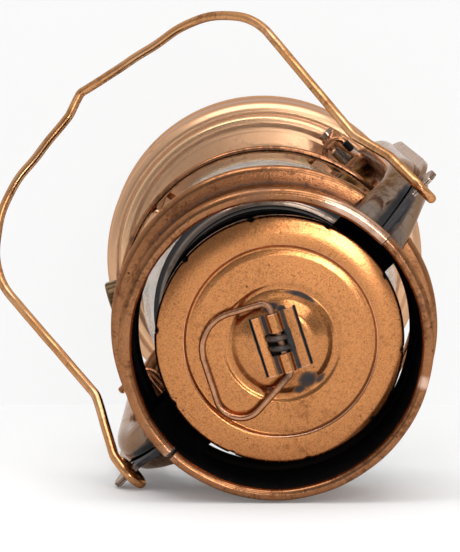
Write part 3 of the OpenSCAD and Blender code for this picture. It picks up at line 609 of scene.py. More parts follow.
@dataclass(frozen=True)
class CopperFinish(Finish):
    """Lacquered copper that has browned, with pits, rubbed edges and soot; the rubbed and blackened masks
    also carry painted highlights and painted shade in places.

    Attributes:
        bright: Colour of the clean copper.
        brown: Colour of the browned copper.
        rubbed: Colour where the finish is rubbed off, and of the painted highlights.
        rough: Roughness of the clean copper.
        browned: Share of the surface that has browned, 0 to 1.
        pitted: Share of the surface with dark pits, 0 to 1.
        grainy: Depth of the fine dark grain, 0 to 1.
        relief: Strength of the bump.
        edge: Tint of the reflection where the surface turns away.
    """

    bright: Colour
    brown: Colour
    rubbed: Colour = (0.86, 0.55, 0.40)
    rough: float = 0.30
    browned: float = 0.45
    pitted: float = 0.25
    grainy: float = 0.35
    relief: float = 0.12
    edge: Colour = (0.62, 0.47, 0.38)

    def sockets(self, graph: Graph) -> dict[str, Any]:
        """Shader values: clouds of brown, fine grain, pits, rubbed edges with painted highlights, and soot
        with painted shade.

        Args:
            graph: The material's graph.

        Returns:
            Values by the name of the shader's socket.
        """
        clouds = graph.noise(55.0, 5.0, 0.62)
        grain = graph.noise(2300.0, 3.0, 0.7)
        freckle = graph.noise(520.0, 3.0, 0.7)
        brown = (clouds + (freckle - 0.5) * 0.9).over(0.72 - 0.5 * self.browned, 1.02 - 0.5 * self.browned)
        spots = 1.0 - graph.cells(620.0).over(0.10, 0.30)
        zone = graph.noise(140.0, 2.0).over(0.62 - 0.3 * self.pitted, 0.80 - 0.3 * self.pitted)
        pits = (spots * zone).clamp()
        # Rubbed bright where the mask says, in places a painted highlight; blackened where the soot mask
        # says, in places painted shade.
        wear_and_highlight = (graph.mask("wear_and_highlight") * (0.45 + graph.noise(240.0, 4.0, 0.7))).over(0.30, 0.75)
        mask = graph.mask("soot")
        soot = (mask + (graph.noise(190.0, 5.0, 0.7) - 0.5) * 0.9 * mask).over(0.25, 0.7)
        colour = graph.blend(brown, self.bright, self.brown)
        grime = tuple(0.35 * c for c in self.brown)
        colour = graph.blend(grain.over(0.42, 0.72) * self.grainy, colour, grime)
        colour = graph.blend(pits * 0.85, colour, (0.035, 0.018, 0.012))
        colour = graph.blend(wear_and_highlight * 0.8, colour, self.rubbed)
        deep = mask.over(0.82, 0.96)
        colour = graph.blend(soot, colour, graph.blend(deep, SLATE_AND_SHADE_COLOUR, SOOT_AND_SHADE_COLOUR))
        rough = self.rough + brown * 0.10 + (grain - 0.5) * 0.18 + pits * 0.2 - wear_and_highlight * 0.08 + soot * 0.35
        height = grain * 0.25 + freckle * 0.6 - pits * 1.2 + clouds * 1.5
        return {
            "Base Color": colour, "Roughness": rough.clamp(), "Metallic": 1.0 - soot,
            "Specular IOR Level": 0.12, "Specular Tint": (*self.edge, 1.0),
            "Normal": graph.bump(height, self.relief, 0.00035)}


@dataclass(frozen=True)
class DarkFinish(Finish):
    """Heat-black enamel with sooty, slightly brown patches.

    Attributes:
        base: Colour of the enamel.
        patch: Colour of the patches.
        rough: Mean roughness.
        gloss: Strength of its reflections.
    """

    base: Colour = (0.004, 0.004, 0.0045)
    patch: Colour = (0.014, 0.010, 0.008)
    rough: float = 0.6
    gloss: float = 0.0

    def sockets(self, graph: Graph) -> dict[str, Any]:
        """Shader values: two blacks in clouds, with a fine grain in the gloss.

        Args:
            graph: The material's graph.

        Returns:
            Values by the name of the shader's socket.
        """
        clouds = graph.noise(70.0, 5.0, 0.65)
        grain = graph.noise(1300.0, 2.0)
        colour = graph.blend(clouds.over(0.45, 0.75), self.base, self.patch)
        rough = (self.rough + (clouds - 0.5) * 0.35 + (grain - 0.5) * 0.2).clamp()
        return {
            "Base Color": colour, "Roughness": rough, "Specular IOR Level": self.gloss,
            "Normal": graph.bump(grain + clouds, 0.2, 0.0003)}


@dataclass(frozen=True)
class PlainMetal(Finish):
    """Dulled brass or bare steel, with fine rubbing lines.

    Attributes:
        base: Colour of the metal.
        dull: Colour of the tarnish.
        rough: Mean roughness.
    """

    base: Colour
    dull: Colour
    rough: float = 0.34

    def sockets(self, graph: Graph) -> dict[str, Any]:
        """Shader values: tarnish in clouds and fine level lines.

        Args:
            graph: The material's graph.

        Returns:
            Values by the name of the shader's socket.
        """
        clouds = graph.noise(90.0, 5.0, 0.65)
        lines = graph.noise(160.0, 3.0, 0.6, graph.stretched((1.0, 1.0, 14.0)))
        colour = graph.blend(clouds.over(0.42, 0.72), self.base, self.dull)
        rough = (self.rough + (clouds - 0.5) * 0.3 + (lines - 0.5) * 0.15).clamp()
        return {
            "Base Color": colour, "Roughness": rough, "Metallic": 1.0,
            "Normal": graph.bump(lines + clouds, 0.12, 0.0003)}


@dataclass(frozen=True)
class GlassFinish(Finish):
    """Clear blown glass with a faint dusty bloom."""

    name: str = "globe_glass"

    def sockets(self, graph: Graph) -> dict[str, Any]:
        """Shader values: clear glass whose gloss varies a little, with slow waves from blowing.

        Args:
            graph: The material's graph.

        Returns:
            Values by the name of the shader's socket.
        """
        dust = graph.noise(45.0, 5.0, 0.6)
        waves = graph.noise(22.0, 1.0)
        colour = graph.blend(dust.over(0.5, 0.8), (0.97, 0.985, 0.98), (0.90, 0.91, 0.89))
        return {
            "Base Color": colour, "Roughness": (dust.over(0.5, 0.85) * 0.10 + 0.015),
            "Transmission Weight": 1.0, "IOR": 1.3, "Alpha": 0.5,
            "Normal": graph.bump(waves, 0.15, 0.0012)}


@dataclass(frozen=True)
class CottonFinish(Finish):
    """Flat woven wick, oily below and charred at its lit end."""

    name: str = "wick_cotton"
    char_height: float = 0.0835
    lit_end: float = 0.086

    def sockets(self, graph: Graph) -> dict[str, Any]:
        """Shader values: crossing sine ribs for the weave and a charred band at the top.

        Args:
            graph: The material's graph.

        Returns:
            Values by the name of the shader's socket.
        """
        turned_place = graph.stretched((1.0, 1.0, 1.0), (0.0, 0.0, math.radians(-27.0)))
        across, up = graph.axis("X", turned_place), graph.axis("Z", turned_place)
        weave = (across * 7000.0).wave() * (up * 5200.0).wave()
        ribs = (across * 3500.0).wave()
        fuzz = graph.noise(1100.0, 4.0, 0.7)
        char = (up + (fuzz - 0.5) * 0.0016).over(self.char_height, self.lit_end - 0.001)
        colour = graph.blend((weave * 0.5 + 0.5) * 0.6 + (fuzz - 0.5), (0.62, 0.56, 0.43), (0.84, 0.80, 0.68))
        colour = graph.blend(char, colour, (0.02, 0.017, 0.015))
        return {
            "Base Color": colour, "Roughness": 0.88,
            "Normal": graph.bump(weave * 0.4 + ribs + fuzz, 0.5, 0.0003)}


@dataclass(frozen=True)
class RubberFinish(Finish):
    """Soft black rubber with a dusty bloom."""

    name: str = "gasket_rubber"

    def sockets(self, graph: Graph) -> dict[str, Any]:
        """Shader values: two near-blacks in fine clouds.

        Args:
            graph: The material's graph.

        Returns:
            Values by the name of the shader's socket.
        """
        bloom = graph.noise(400.0, 4.0, 0.7)
        return {
            "Base Color": graph.blend(bloom, (0.018, 0.017, 0.016), (0.06, 0.057, 0.053)),
            "Roughness": 0.6 + bloom * 0.3, "Normal": graph.bump(bloom, 0.2, 0.0002)}


def made(finish: Finish) -> Any:
    """A field that holds a finish's material, built when the field's owner is made."""
    return field(default_factory=finish.build)


@dataclass
class Finishes:
    """All the finishes of the lantern, each built once."""

    cap: Material = made(CopperFinish(
        "cap_copper", (0.56, 0.232, 0.084), (0.35, 0.136, 0.047), rough=0.21, browned=0.40, pitted=0.25,
        grainy=0.7, relief=0.06))
    band: Material = made(CopperFinish(
        "band_copper", (0.34, 0.147, 0.064), (0.16, 0.064, 0.028), (0.78, 0.52, 0.39), rough=0.22,
        browned=0.5, pitted=0.4, grainy=0.4))
    tank: Material = made(CopperFinish(
        "tank_copper", (0.66, 0.385, 0.225), (0.45, 0.245, 0.142), (0.76, 0.50, 0.28), rough=0.3,
        browned=0.35, pitted=0.03, grainy=0.08, relief=0.05))
    tube: Material = made(CopperFinish(
        "tube_copper", (0.27, 0.205, 0.165), (0.12, 0.074, 0.05), (0.80, 0.66, 0.55), rough=0.16, browned=0.5,
        pitted=0.25, grainy=0.2, relief=0.1))
    wire: Material = made(CopperFinish(
        "wire_copper", (0.60, 0.295, 0.125), (0.30, 0.13, 0.055), (0.84, 0.56, 0.36), rough=0.22,
        browned=0.45, pitted=0.2, relief=0.1))
    ring: Material = made(CopperFinish(
        "ring_copper", (0.42, 0.185, 0.088), (0.11, 0.05, 0.03), (0.64, 0.34, 0.2), rough=0.18, browned=0.55,
        pitted=0.3, relief=0.1))
    black: Material = made(DarkFinish("heat_black"))
    iron: Material = made(DarkFinish(
        "sooty_wire", (0.022, 0.019, 0.018), (0.10, 0.06, 0.042), 0.36, 0.5))
    brass: Material = made(PlainMetal(
        "dull_brass", (0.50, 0.34, 0.16), (0.26, 0.165, 0.08)))
    bronze: Material = made(PlainMetal(
        "dark_brass", (0.20, 0.125, 0.065), (0.07, 0.042, 0.026)))
    steel: Material = made(PlainMetal(
        "bare_steel", (0.46, 0.45, 0.43), (0.24, 0.22, 0.20), 0.32))
    glass: Material = made(GlassFinish())
    cotton: Material = made(CottonFinish())
    rubber: Material = made(RubberFinish())


# Sub-assemblies


class Assembly:
    """A sub-assembly of separate pieces."""

    def pieces(self, finish: Finishes) -> Iterator[Piece]:
        """Works out the pieces one after the other.

        Args:
            finish: The lantern's finishes.

        Returns:
            What make_piece is given for each of them.
        """
        raise NotImplementedError

    def build(self, finish: Finishes) -> None:
        """Makes all the pieces, with the lantern's finishes."""
        for piece in self.pieces(finish):
            make_piece(*piece)


@dataclass
class Hood(Assembly):
    """Hood cap with its bracket, hook, spring, lift ring and bell.

    Attributes:
        cap_r: Outer radius of the cap.
        level_z: Height of the cap's flat zone.
        boss_z: Height of the boss's top.
        notch_first: Direction of the first notch in the cap's edge, in degrees.
        notches: Number of notches.
        notch: Half width and depth of a notch.
        shift_x: How far the cap sits off the axis along X.
        shift_y: How far it does so along Y, at the boss and at the edge.
        smears: Soot round the boss: direction in degrees, radius, half width, half spread in radians, depth.
        bracket: Place of the bracket on the cap.
        axle_turn: Direction of the ring's axle, in degrees.
        axle_z: Height of the ring's axle.
    """

    cap_r: float = 35.7
    level_z: float = 251.4
    boss_z: float = 254.5
    notch_first: float = 22.65
    notches: int = 10
    notch: Pair = (1.0, 1.15)
    shift_x: float = -1.0
    shift_y: Pair = (1.6, 0.55)
    smears: tuple[tuple[float, ...], ...] = (
        (205.0, 14.8, 1.0, 0.40, 0.7), (243.0, 11.0, 1.6, 0.26, 0.8), (228.0, 10.2, 1.2, 0.16, 0.75),
        (80.0, 12.6, 2.9, 0.27, 0.75), (66.0, 14.2, 1.5, 0.16, 0.7), (92.0, 15.0, 1.2, 0.14, 0.65),
        (315.0, 9.0, 2.6, 0.5, 0.36), (30.0, 13.8, 0.7, 0.06, 0.6))
    bracket: Pair = (-1.2, 0.8)
    axle_turn: float = 63.0
    axle_z: float = 256.0

    def to_lantern(self, points: Array) -> Array:
        """Moves points from the bracket's own axes, X along the axle, to the lantern's."""
        return turned(points, self.axle_turn, "Z") + np.array([*self.bracket, 0.0])

    def bracket_place(self, points: Array) -> tuple[Array, Array]:
        """Distance of points from the bracket's middle, along its axle and across it."""
        local = turned(points - np.array([*self.bracket, 0.0]), -self.axle_turn, "Z")
        return np.abs(local[..., 0]), np.abs(local[..., 1])

    def cap_skin(self) -> Skin:
        """Pressed cap: a turned profile with a boss, a groove and a round outer zone, nicked at its edge.

        Returns:
            The cap's skin, with painted shade in and along the bracket, soot smears round the boss, a rubbed
            ridge that also paints a bright line of light, and a painted highlight on one side of the boss.
        """
        arch = np.radians(np.linspace(-2.5, 14.3, 40))
        round_zone = columns(29.0 + 25.0 * np.sin(arch), 227.2 + 25.0 * np.cos(arch))
        top = resample(np.concatenate([
            bend_path([(0.4, 254.50, 0), (8.8, 254.45, 6), (12.6, 253.0, 5), (14.6, 251.55, 1.2),
                       (15.4, 251.2, 0.6), (16.4, 251.25, 0.6), (17.2, 251.55, 1.0), (24.9, 251.4, 3),
                       (26.3, 251.2, 0.8), (26.95, 251.0, 0.4), (27.4, 251.8, 0.3), (27.9, 252.17, 0)], 0.2),
            round_zone,
            bend_path([(35.18, 251.42, 0), (35.7, 251.2, 0.5), (35.7, 247.75, 0.3), (35.35, 247.4, 0.25),
                       (35.0, 247.6, 0)], 0.2)]), 0.32)
        under = np.array([[34.95, 248.6], [34.5, 250.4], [30.0, 251.4], [27.9, 251.3], [27.0, 250.2],
                          [22.0, 250.6], [16.0, 250.4], [12.0, 252.2], [8.0, 253.6], [0.4, 253.7]])
        profile = np.concatenate([top, under])
        reach, height = profile[:, :1], profile[:, 1:]
        turn = full_turn(600)
        pitch = TAU / self.notches
        off = (turn - math.radians(self.notch_first) + pitch / 2) % pitch - pitch / 2
        arc = np.clip(1.0 - (off * self.cap_r / self.notch[0]) ** 2, 0.0, None)
        limit = np.where(arc > 0.0, self.cap_r + 0.1 - self.notch[1] * np.sqrt(arc), 1e9)
        radius = np.where(height > 249.0, np.minimum(reach, limit), reach)
        rings = around_axis(radius, height, turn)
        rings[..., 0] += self.shift_x
        rings[..., 1] += np.interp(reach, [16.0, self.cap_r], self.shift_y)
        dent = -(0.10 * np.sin(2 * turn + 0.7) + 0.06 * np.sin(5 * turn + 2.1)) * ease(reach, 16.0, 27.0)
        rings[..., 2] += dent * (1.0 - ease(reach, 33.0, 35.0)) - 0.04 * ease(reach, 16.0, 27.0)
        # The ridge is rubbed and also paints the bright line of light along it; the boss's shoulder is
        # painted lighter on one side, a painted highlight.
        ridge = hump(reach, 27.45, 0.38)
        boss = hump(reach, 15.6, 0.9) * (0.55 + 0.45 * np.sin(turn - 2.4))
        below = np.zeros_like(reach)
        below[len(top):] = 1.0
        nick = (arc > 0.0) * ((reach > 35.2) & (height < 250.6))
        wear_and_highlight = ridge * 0.9 + 0.35 * boss
        soot = np.maximum(self.cap_shade_and_soot(rings, turn, reach), np.maximum(below, nick))
        return loft(rings, Ends.FAN, wear_and_highlight * (1 - below), soot)

    def cap_shade_and_soot(self, rings: Array, turn: Array, reach: Array) -> Array:
        """Painted shade on the cap in the bracket's window and along its edges, and soot in smears round the
        boss.

        Args:
            rings: The cap's grid of points.
            turn: Direction of each column of the grid.
            reach: Radius of each row of the grid.

        Returns:
            The mask on the grid.
        """
        along, across = self.bracket_place(rings)
        # Painted shade: black under the bracket's open window and a dark line along its long edges.
        window = (1.0 - ease(along, 3.6, 4.2)) * (1.0 - ease(across, 3.6, 4.4))
        edges = hump(across, 6.6, 0.42, 4) * (1.0 - ease(along, 8.6, 9.0))
        smears = np.zeros_like(along)
        for degrees, at, wide, spread, depth in self.smears:
            swing = (turn - math.radians(degrees) + math.pi) % TAU - math.pi
            size = ((reach - at) / wide) ** 2 + (swing / spread) ** 2
            smears = np.maximum(smears, depth * np.exp(-(size**2)))
        return np.maximum(np.maximum(window, edges), smears)

    def bracket_skin(self) -> Skin:
        """Bracket: a bent sheet that is flat at both sides and arched over the axle, open in the middle.

        Returns:
            Two arched ends and two side strips between them, in one skin, with painted shade in the grooves,
            along the outer edges and under the arch.
        """
        half_l, half_w, half, base = 8.7, 6.2, 0.42, self.boss_z + 0.06
        lift = self.axle_z - base
        side = [(-half_w, base + 1.15, 0), (-4.2, base + 0.95, 1.5), (-3.2, base + 0.5, 0.7),
                (-2.5, base + 0.5, 0.5), (-1.75, base + lift, 0.5)]
        arch_turn, arch_r = np.linspace(math.pi, 0.0, 22), 1.62
        arch = arch_r * unit(arch_turn) + [0.0, self.axle_z]
        left = bend_path(side, 0.18)
        path = np.concatenate([left[:-2], arch, (left * [-1, 1])[::-1][2:]])
        loop = sheet_loop(path, half)
        # Painted shade: dark grooves beside the arch and a dark line along the outer edges of the flat sides.
        groove_shade = 0.7 * hump(np.abs(loop[:, 0]), 2.8, 0.85, 4) * (loop[:, 1] < self.axle_z + 0.6)
        rim = 0.9 * ease(np.abs(loop[:, 0]), half_w - 0.25, half_w - 0.05)
        crown = 0.28 * ease(loop[:, 1], self.axle_z + 1.2, self.axle_z + 2.0)
        spans = [np.array([-half_l, -half_l + 0.15, -half_l + 0.5, -3.5, -3.2]),
                 np.array([3.2, 3.5, half_l - 0.5, half_l - 0.15, half_l])]
        skins = []
        for span in spans:
            edge = np.where(np.abs(span) > half_l - 0.4, 0.85, 0.2)[:, None] * np.ones(len(loop))
            soot = np.maximum(groove_shade, rim)[None] * np.ones((len(span), 1))
            # Painted shade: black under the arch, seen through the window.
            inner = (np.abs(loop[:, 0]) < 3.4) & (loop[:, 1] < self.axle_z + 1.4)
            soot = np.maximum(soot, 0.9 * (np.abs(span) < 3.3)[:, None] * inner)
            skins.append(loft(extruded(loop, span), Ends.STRIP, np.maximum(edge * 0.6, crown[None]), soot))
        for sign in (-1.0, 1.0):
            foot = [(3.9, base + 0.8, 0)] if sign < 0 else [(3.2, base + 0.5, 0.7), (1.9, base + 0.5, 0)]
            line = [(half_w, base + 1.15, 0), (4.4, base + 0.97, 1.5)] + foot
            strip = sheet_loop(bend_path([(sign * y, z, bend) for y, z, bend in line], 0.15), half)
            # Painted shade along the strips' outer edges and at their inner ends by the window.
            shade = np.maximum(0.9 * ease(np.abs(strip[:, 0]), half_w - 0.25, half_w - 0.05),
                               0.72 * (1.0 - ease(np.abs(strip[:, 0]), 3.5, 3.9)))
            skins.append(loft(extruded(strip, np.linspace(-3.25, 3.25, 5)), Ends.STRIP, 0.3, shade[None]))
        return Skin.join(skins).put(self.to_lantern)

    def hook_skin(self) -> Skin:
        """Two dark prongs that arch over the axle in the bracket's window, joined under the cap.

        Returns:
            The hook's skin.
        """
        swing = np.linspace(0.0, math.pi, 25)
        arch = columns(0.0, 2.1 * np.cos(swing) - 0.7, self.axle_z + 2.0 * np.sin(swing))
        legs = np.linspace(self.boss_z - 8.0, self.axle_z, 9)
        down = columns(0.0, 1.4, legs)
        path = np.concatenate([down[:-1], arch, (down + [0.0, -4.2, 0.0])[::-1][1:]])
        skins = [wire(path + np.array([aside, 0.0, 0.0]) + path[:, 1:2] * np.array([skew, 0.0, 0.0]),
                      (1.0, 0.0, 0.0), 0.85, 14) for aside, skew in ((-1.5, 0.16), (1.5, 0.22))]
        bar = columns(np.linspace(-2.3, 2.3, 7), 3.6, 246.0)
        skins.append(wire(bar, (0.0, 0.0, 1.0), 0.8, 12))
        return Skin.join(skins).put(self.to_lantern)

    def ring_skin(self) -> Skin:
        """Lift ring: one bent wire in a plane that is folded down onto the cap.

        Returns:
            The ring's skin, as a closed wire whose axle runs through the bracket.
        """
        reach, radius = 22.8, 1.0
        flat = bend_path([(0, 0, 0), (9.4, 0, 1.6), (23.4, reach, 7), (-12.2, reach, 11), (-12.2, 0, 2.5),
                          (0, 0, 0)], 0.5)[:-1]
        fold = math.degrees(math.asin((self.axle_z - (self.level_z + 1.3)) / reach))
        path = turned(at_height(flat * [1, -1], 0.0), fold, "X")
        path[:, 2] += self.axle_z
        up = turned(np.array([0.0, 0.0, 1.0]), fold, "X")
        dark = 0.75 * (1.0 - ease(flat[:, 1], 1.0, 9.0)) + 0.25
        return wire(path, up, radius, 18, True, wear_and_highlight=0.55, soot=0.42 * dark).put(self.to_lantern)

    def spring_skin(self) -> Skin:
        """Tension spring: a helix between two short straight legs.

        Returns:
            The spring's skin.
        """
        low, high, radius, turns = 229.0, 245.2, 3.6, 6.25
        share = np.linspace(0.0, 1.0, 260)
        coil = around_axis(radius, low + 2 + share * (high - low - 4), share * turns * TAU)
        foot = coil[0] + np.linspace(-2.0, -0.2, 5)[:, None] * [0, 0, 1]
        head = coil[-1] + np.linspace(0.2, 2.0, 5)[:, None] * [0, 0, 1]
        path = np.concatenate([foot, coil, head])
        away = np.concatenate([np.repeat(coil[:1], 5, 0), coil, np.repeat(coil[-1:], 5, 0)]) * [1, 1, 0]
        return wire(path, away, 0.45, 10).put(self.to_lantern)

    def bell_skin(self) -> Skin:
        """Bell: a turned flange with a flared, rolled lip over the globe's mouth, and a collar above it.

        Returns:
            The bell's skin.
        """
        lip_at, lip_r, half = np.array([36.4, 187.5]), 0.45, 0.38
        path = bend_path([(24.6, 190.7, 0), (31.6, 190.7, 1), (33.3, 189.9, 1), (34.6, 189.5, 1.2),
                          (lip_at[0], lip_at[1], 0)], 0.4)
        flange = sheet_loop(path, half)
        collar = sheet_loop(np.linspace([32.8, 190.6], [32.8, 198.9], 6), half)
        swing = full_turn(24)
        lip = lip_at + lip_r * unit(swing)
        dark = np.maximum(0.88 * ease(flange[:, 0], 34.9, 35.5), 1.0 - ease(flange[:, 0], 33.4, 33.9))
        return Skin.join([lathe(outline, 160, Ends.JOINED, wear_and_highlight, soot) for outline, wear_and_highlight, soot in (
            (flange, 0.1, dark), (collar, 0.0, 1.0), (lip, 0.1, 0.9))])

    def pieces(self, finish: Finishes) -> Iterator[Piece]:
        """The hood's pieces.

        Args:
            finish: The lantern's finishes.

        Returns:
            What make_piece is given for each of them.
        """
        yield "cap_pressing", self.cap_skin(), finish.cap, "hood", "copper", ["hood_cap"]
        yield "ring_saddle", self.bracket_skin(), finish.cap, "hood", "copper", ["ring_bracket"], 30.0
        yield "hook_prongs", self.hook_skin(), finish.iron, "hood", "soot", ["spring_hook"]
        yield "pull_ring", self.ring_skin(), finish.ring, "lift_ring", "copper", ["lift_ring"]
        yield "hood_coil", self.spring_skin(), finish.steel, "frame", "steel", ["hood_spring"]
        yield "bell_flange", self.bell_skin(), finish.tube, "hood", "copper", ["hood_bell"]


@dataclass
class Crown(Assembly):
    """Crown band in two halves, with the chimney guide inside it.

    Attributes:
        wall_r: Outer radius of the band's wall.
        sheet: Thickness of the band.
        low_z: Height of the lower edge.
        top_z: Height of the front half's upper edge.
        back_drop: How far the back half's edge lies below the front half's.
        beads: Radius of the upper bead, front and back.
        bead_in: How far the upper bead's middle lies inside the wall.
        low_bead: Radius of the lower bead.
        fold: How far the lower bead's middle lies outside and inside the wall.
        columns: Points along a half turn.
    """

    wall_r: float = 43.4
    sheet: float = 0.8
    low_z: float = 222.0
    top_z: float = 262.0
    back_drop: float = 0.7
    beads: Pair = (1.95, 1.65)
    bead_in: float = 0.6
    low_bead: float = 2.0
    fold: Pair = (3.1, 1.2)
    columns: int = 241

    def band_skin(self, front: bool) -> Skin:
        """Half band: for each height an outer and an inner radius, carried round half a turn.

        The radius is that of the wall, or of the rolled bead where the bead stands further out.

        Args:
            front: True for the front half, whose bead is the larger.

        Returns:
            The half band's skin, black inside.
        """
        bead, low_bead = self.beads[0 if front else 1], self.low_bead
        top = self.top_z - (0.0 if front else self.back_drop)
        roll = (1.0 - np.cos(np.linspace(0.0, math.pi, 34))) / 2
        height = np.concatenate([self.low_z + 2 * low_bead * roll[:-1],
                                 np.linspace(self.low_z + 2 * low_bead, top - 2 * bead, 26)[:-1],
                                 top - 2 * bead + 2 * bead * roll])
        upper = np.sqrt(np.clip(bead**2 - (height - top + bead) ** 2, 0.0, None))
        lower = np.sqrt(np.clip(low_bead**2 - (height - self.low_z - low_bead) ** 2, 0.0, None))
        on_top, on_low = height > top - 2 * bead + 1e-6, height < self.low_z + 2 * low_bead - 1e-6
        bare = (height > top - bead) | (height < self.low_z + low_bead)
        outer = np.where(bare, 0.0, self.wall_r)
        inner = np.where(bare, 1e3, self.wall_r - self.sheet)
        out_r, in_r = self.wall_r + self.fold[0], self.wall_r - self.fold[1]
        bead_r = self.wall_r - self.bead_in
        for here, far, near, swell in ((on_top, bead_r, bead_r, upper), (on_low, out_r, in_r, lower)):
            outer = np.maximum(outer, np.where(here, far + swell, 0.0))
            inner = np.minimum(inner, np.where(here, near - swell, 1e3))
        inner = inner + 0.45 * hump(height, top - 1.45 * bead, 0.22)
        reach, level = np.concatenate([outer, inner[::-1]]), np.concatenate([height, height[::-1]])
        first, last = (0.35, 0.25) if front else (-2.3, -0.9)
        start = math.pi if front else 0.0
        turn = np.linspace(math.radians(-first), math.pi + math.radians(last), self.columns) + start
        uneven = 0.10 * np.sin(3 * turn + 0.4) + 0.05 * np.sin(7 * turn + 1.9) + 0.03 * np.sin(17 * turn)
        flush = np.linspace(-0.004, math.pi + 0.004, self.columns) + start
        bend = ease(level, top - 2 * bead - 1.5, top - 2 * bead)
        rings = around_axis(reach + uneven[:, None], level, flush[:, None] + (turn - flush)[:, None] * bend)
        sway = 0.10 * np.sin(5 * turn + 1.0) + 0.06 * np.sin(11 * turn) - 0.17
        rings[..., 2] += sway[:, None] * ease(level, 250.0, 258.0)
        return loft(rings, Ends.STRIP, *self.band_masks(front, turn, reach, level, top, bead))

    def band_masks(self, front: bool, turn: Array, reach: Array, level: Array, top: float,
                   bead: float) -> tuple[Array, Array]:
        """Rubbed bead and edges, and a worn patch that is also a painted highlight; soot inside and in pocks
        on the bead, and painted shade in the fold's groove.

        Args:
            front: True for the front half.
            turn: Direction of each row of the grid.
            reach: Radius of each column of the grid; the second half of them lies inside the band.
            level: Height of each column.
            top: Height of the upper edge.
            bead: Radius of the upper bead.

        Returns:
            The rubbed and the blackened mask.
        """
        on_bead = ease(level, top - 1.2 * bead, top - 0.4)
        inside = np.repeat([0.0, 1.0], len(level) // 2)
        black = inside * (1.0 - ease(level, top - 2.1 * bead, top - 1.6 * bead))
        # Painted shade in the groove above the lower fold.
        groove = (1.0 - ease(reach, self.wall_r + 1.0, self.wall_r + 3.4)) * (np.abs(level - 226.5) < 2.5)
        pocks = 0.42 * hump(turn, math.radians(233.0), 0.26) * (1.0 if front else 0.0)
        black = np.maximum(np.maximum(black, 0.5 * groove), pocks[:, None] * ease(level, 259.0, 261.0))
        count = np.arange(self.columns)
        ends = 0.5 * np.exp(-np.minimum(count, count[::-1]) / 3.0)
        # The worn patch on each bead is also a painted highlight.
        spot, wide = (194.0, 13.0) if front else (121.0, 2.6)
        patch = hump(turn, math.radians(spot), math.radians(wide), 4)
        edge = 0.25 + 0.34 * on_bead * (0.45 + ends[:, None]) + 0.45 * patch[:, None] * on_bead
        low_edge = 0.45 * (1.0 - ease(level, 224.0, 225.5))
        return edge * 0.8 + low_edge * (1 - inside), black

    def solder_skin(self) -> Skin:
        """Dark solder lumps where the two halves of the bead meet: squashed balls on the seam.

        Returns:
            Both lumps in one skin.
        """
        half_sizes, place = np.array([1.9, 0.9, 1.55]), np.array([42.7, 0.35, 259.5])
        tilt = np.linspace(0.08, math.pi - 0.08, 12)[:, None]
        turn = full_turn(20)[None]
        ball = columns(np.sin(tilt) * np.cos(turn), np.sin(tilt) * np.sin(turn),
                       np.cos(tilt)) * half_sizes
        return Skin.join([loft(ball + place * [side, 1, 1]) for side in (-1, 1)])

    def guide_skin(self) -> Skin:
        """Chimney guide: a turned sleeve with a small rolled edge at its top.

        Returns:
            The guide's skin.
        """
        outer, inner, curl_r, levels = 34.5, 33.72, 0.42, (217.0, 229.0, 241.2)
        swing = np.linspace(math.radians(-60.0), math.radians(230.0), 22)
        curl = curl_r * unit(swing) + [34.1, 241.55]
        outline = np.concatenate([[(outer, z) for z in levels], curl, [(inner, z) for z in levels[::-1]]])
        return lathe(outline, 180, Ends.JOINED)

    def pieces(self, finish: Finishes) -> Iterator[Piece]:
        """The crown's pieces.

        Args:
            finish: The lantern's finishes.

        Returns:
            What make_piece is given for each of them.
        """
        yield "band_front", self.band_skin(True), finish.band, "frame", "copper", ["crown_front"]
        yield "band_back", self.band_skin(False), finish.band, "frame", "copper", ["crown_back"]
        yield "seam_solder", self.solder_skin(), finish.iron, "frame", "soot"
        yield "guide_sleeve", self.guide_skin(), finish.black, "frame", "soot", ["chimney_guide"]


class Side(Enum):
    """The two side tubes, by the sign of their X."""

    RIGHT = 1.0
    LEFT = -1.0


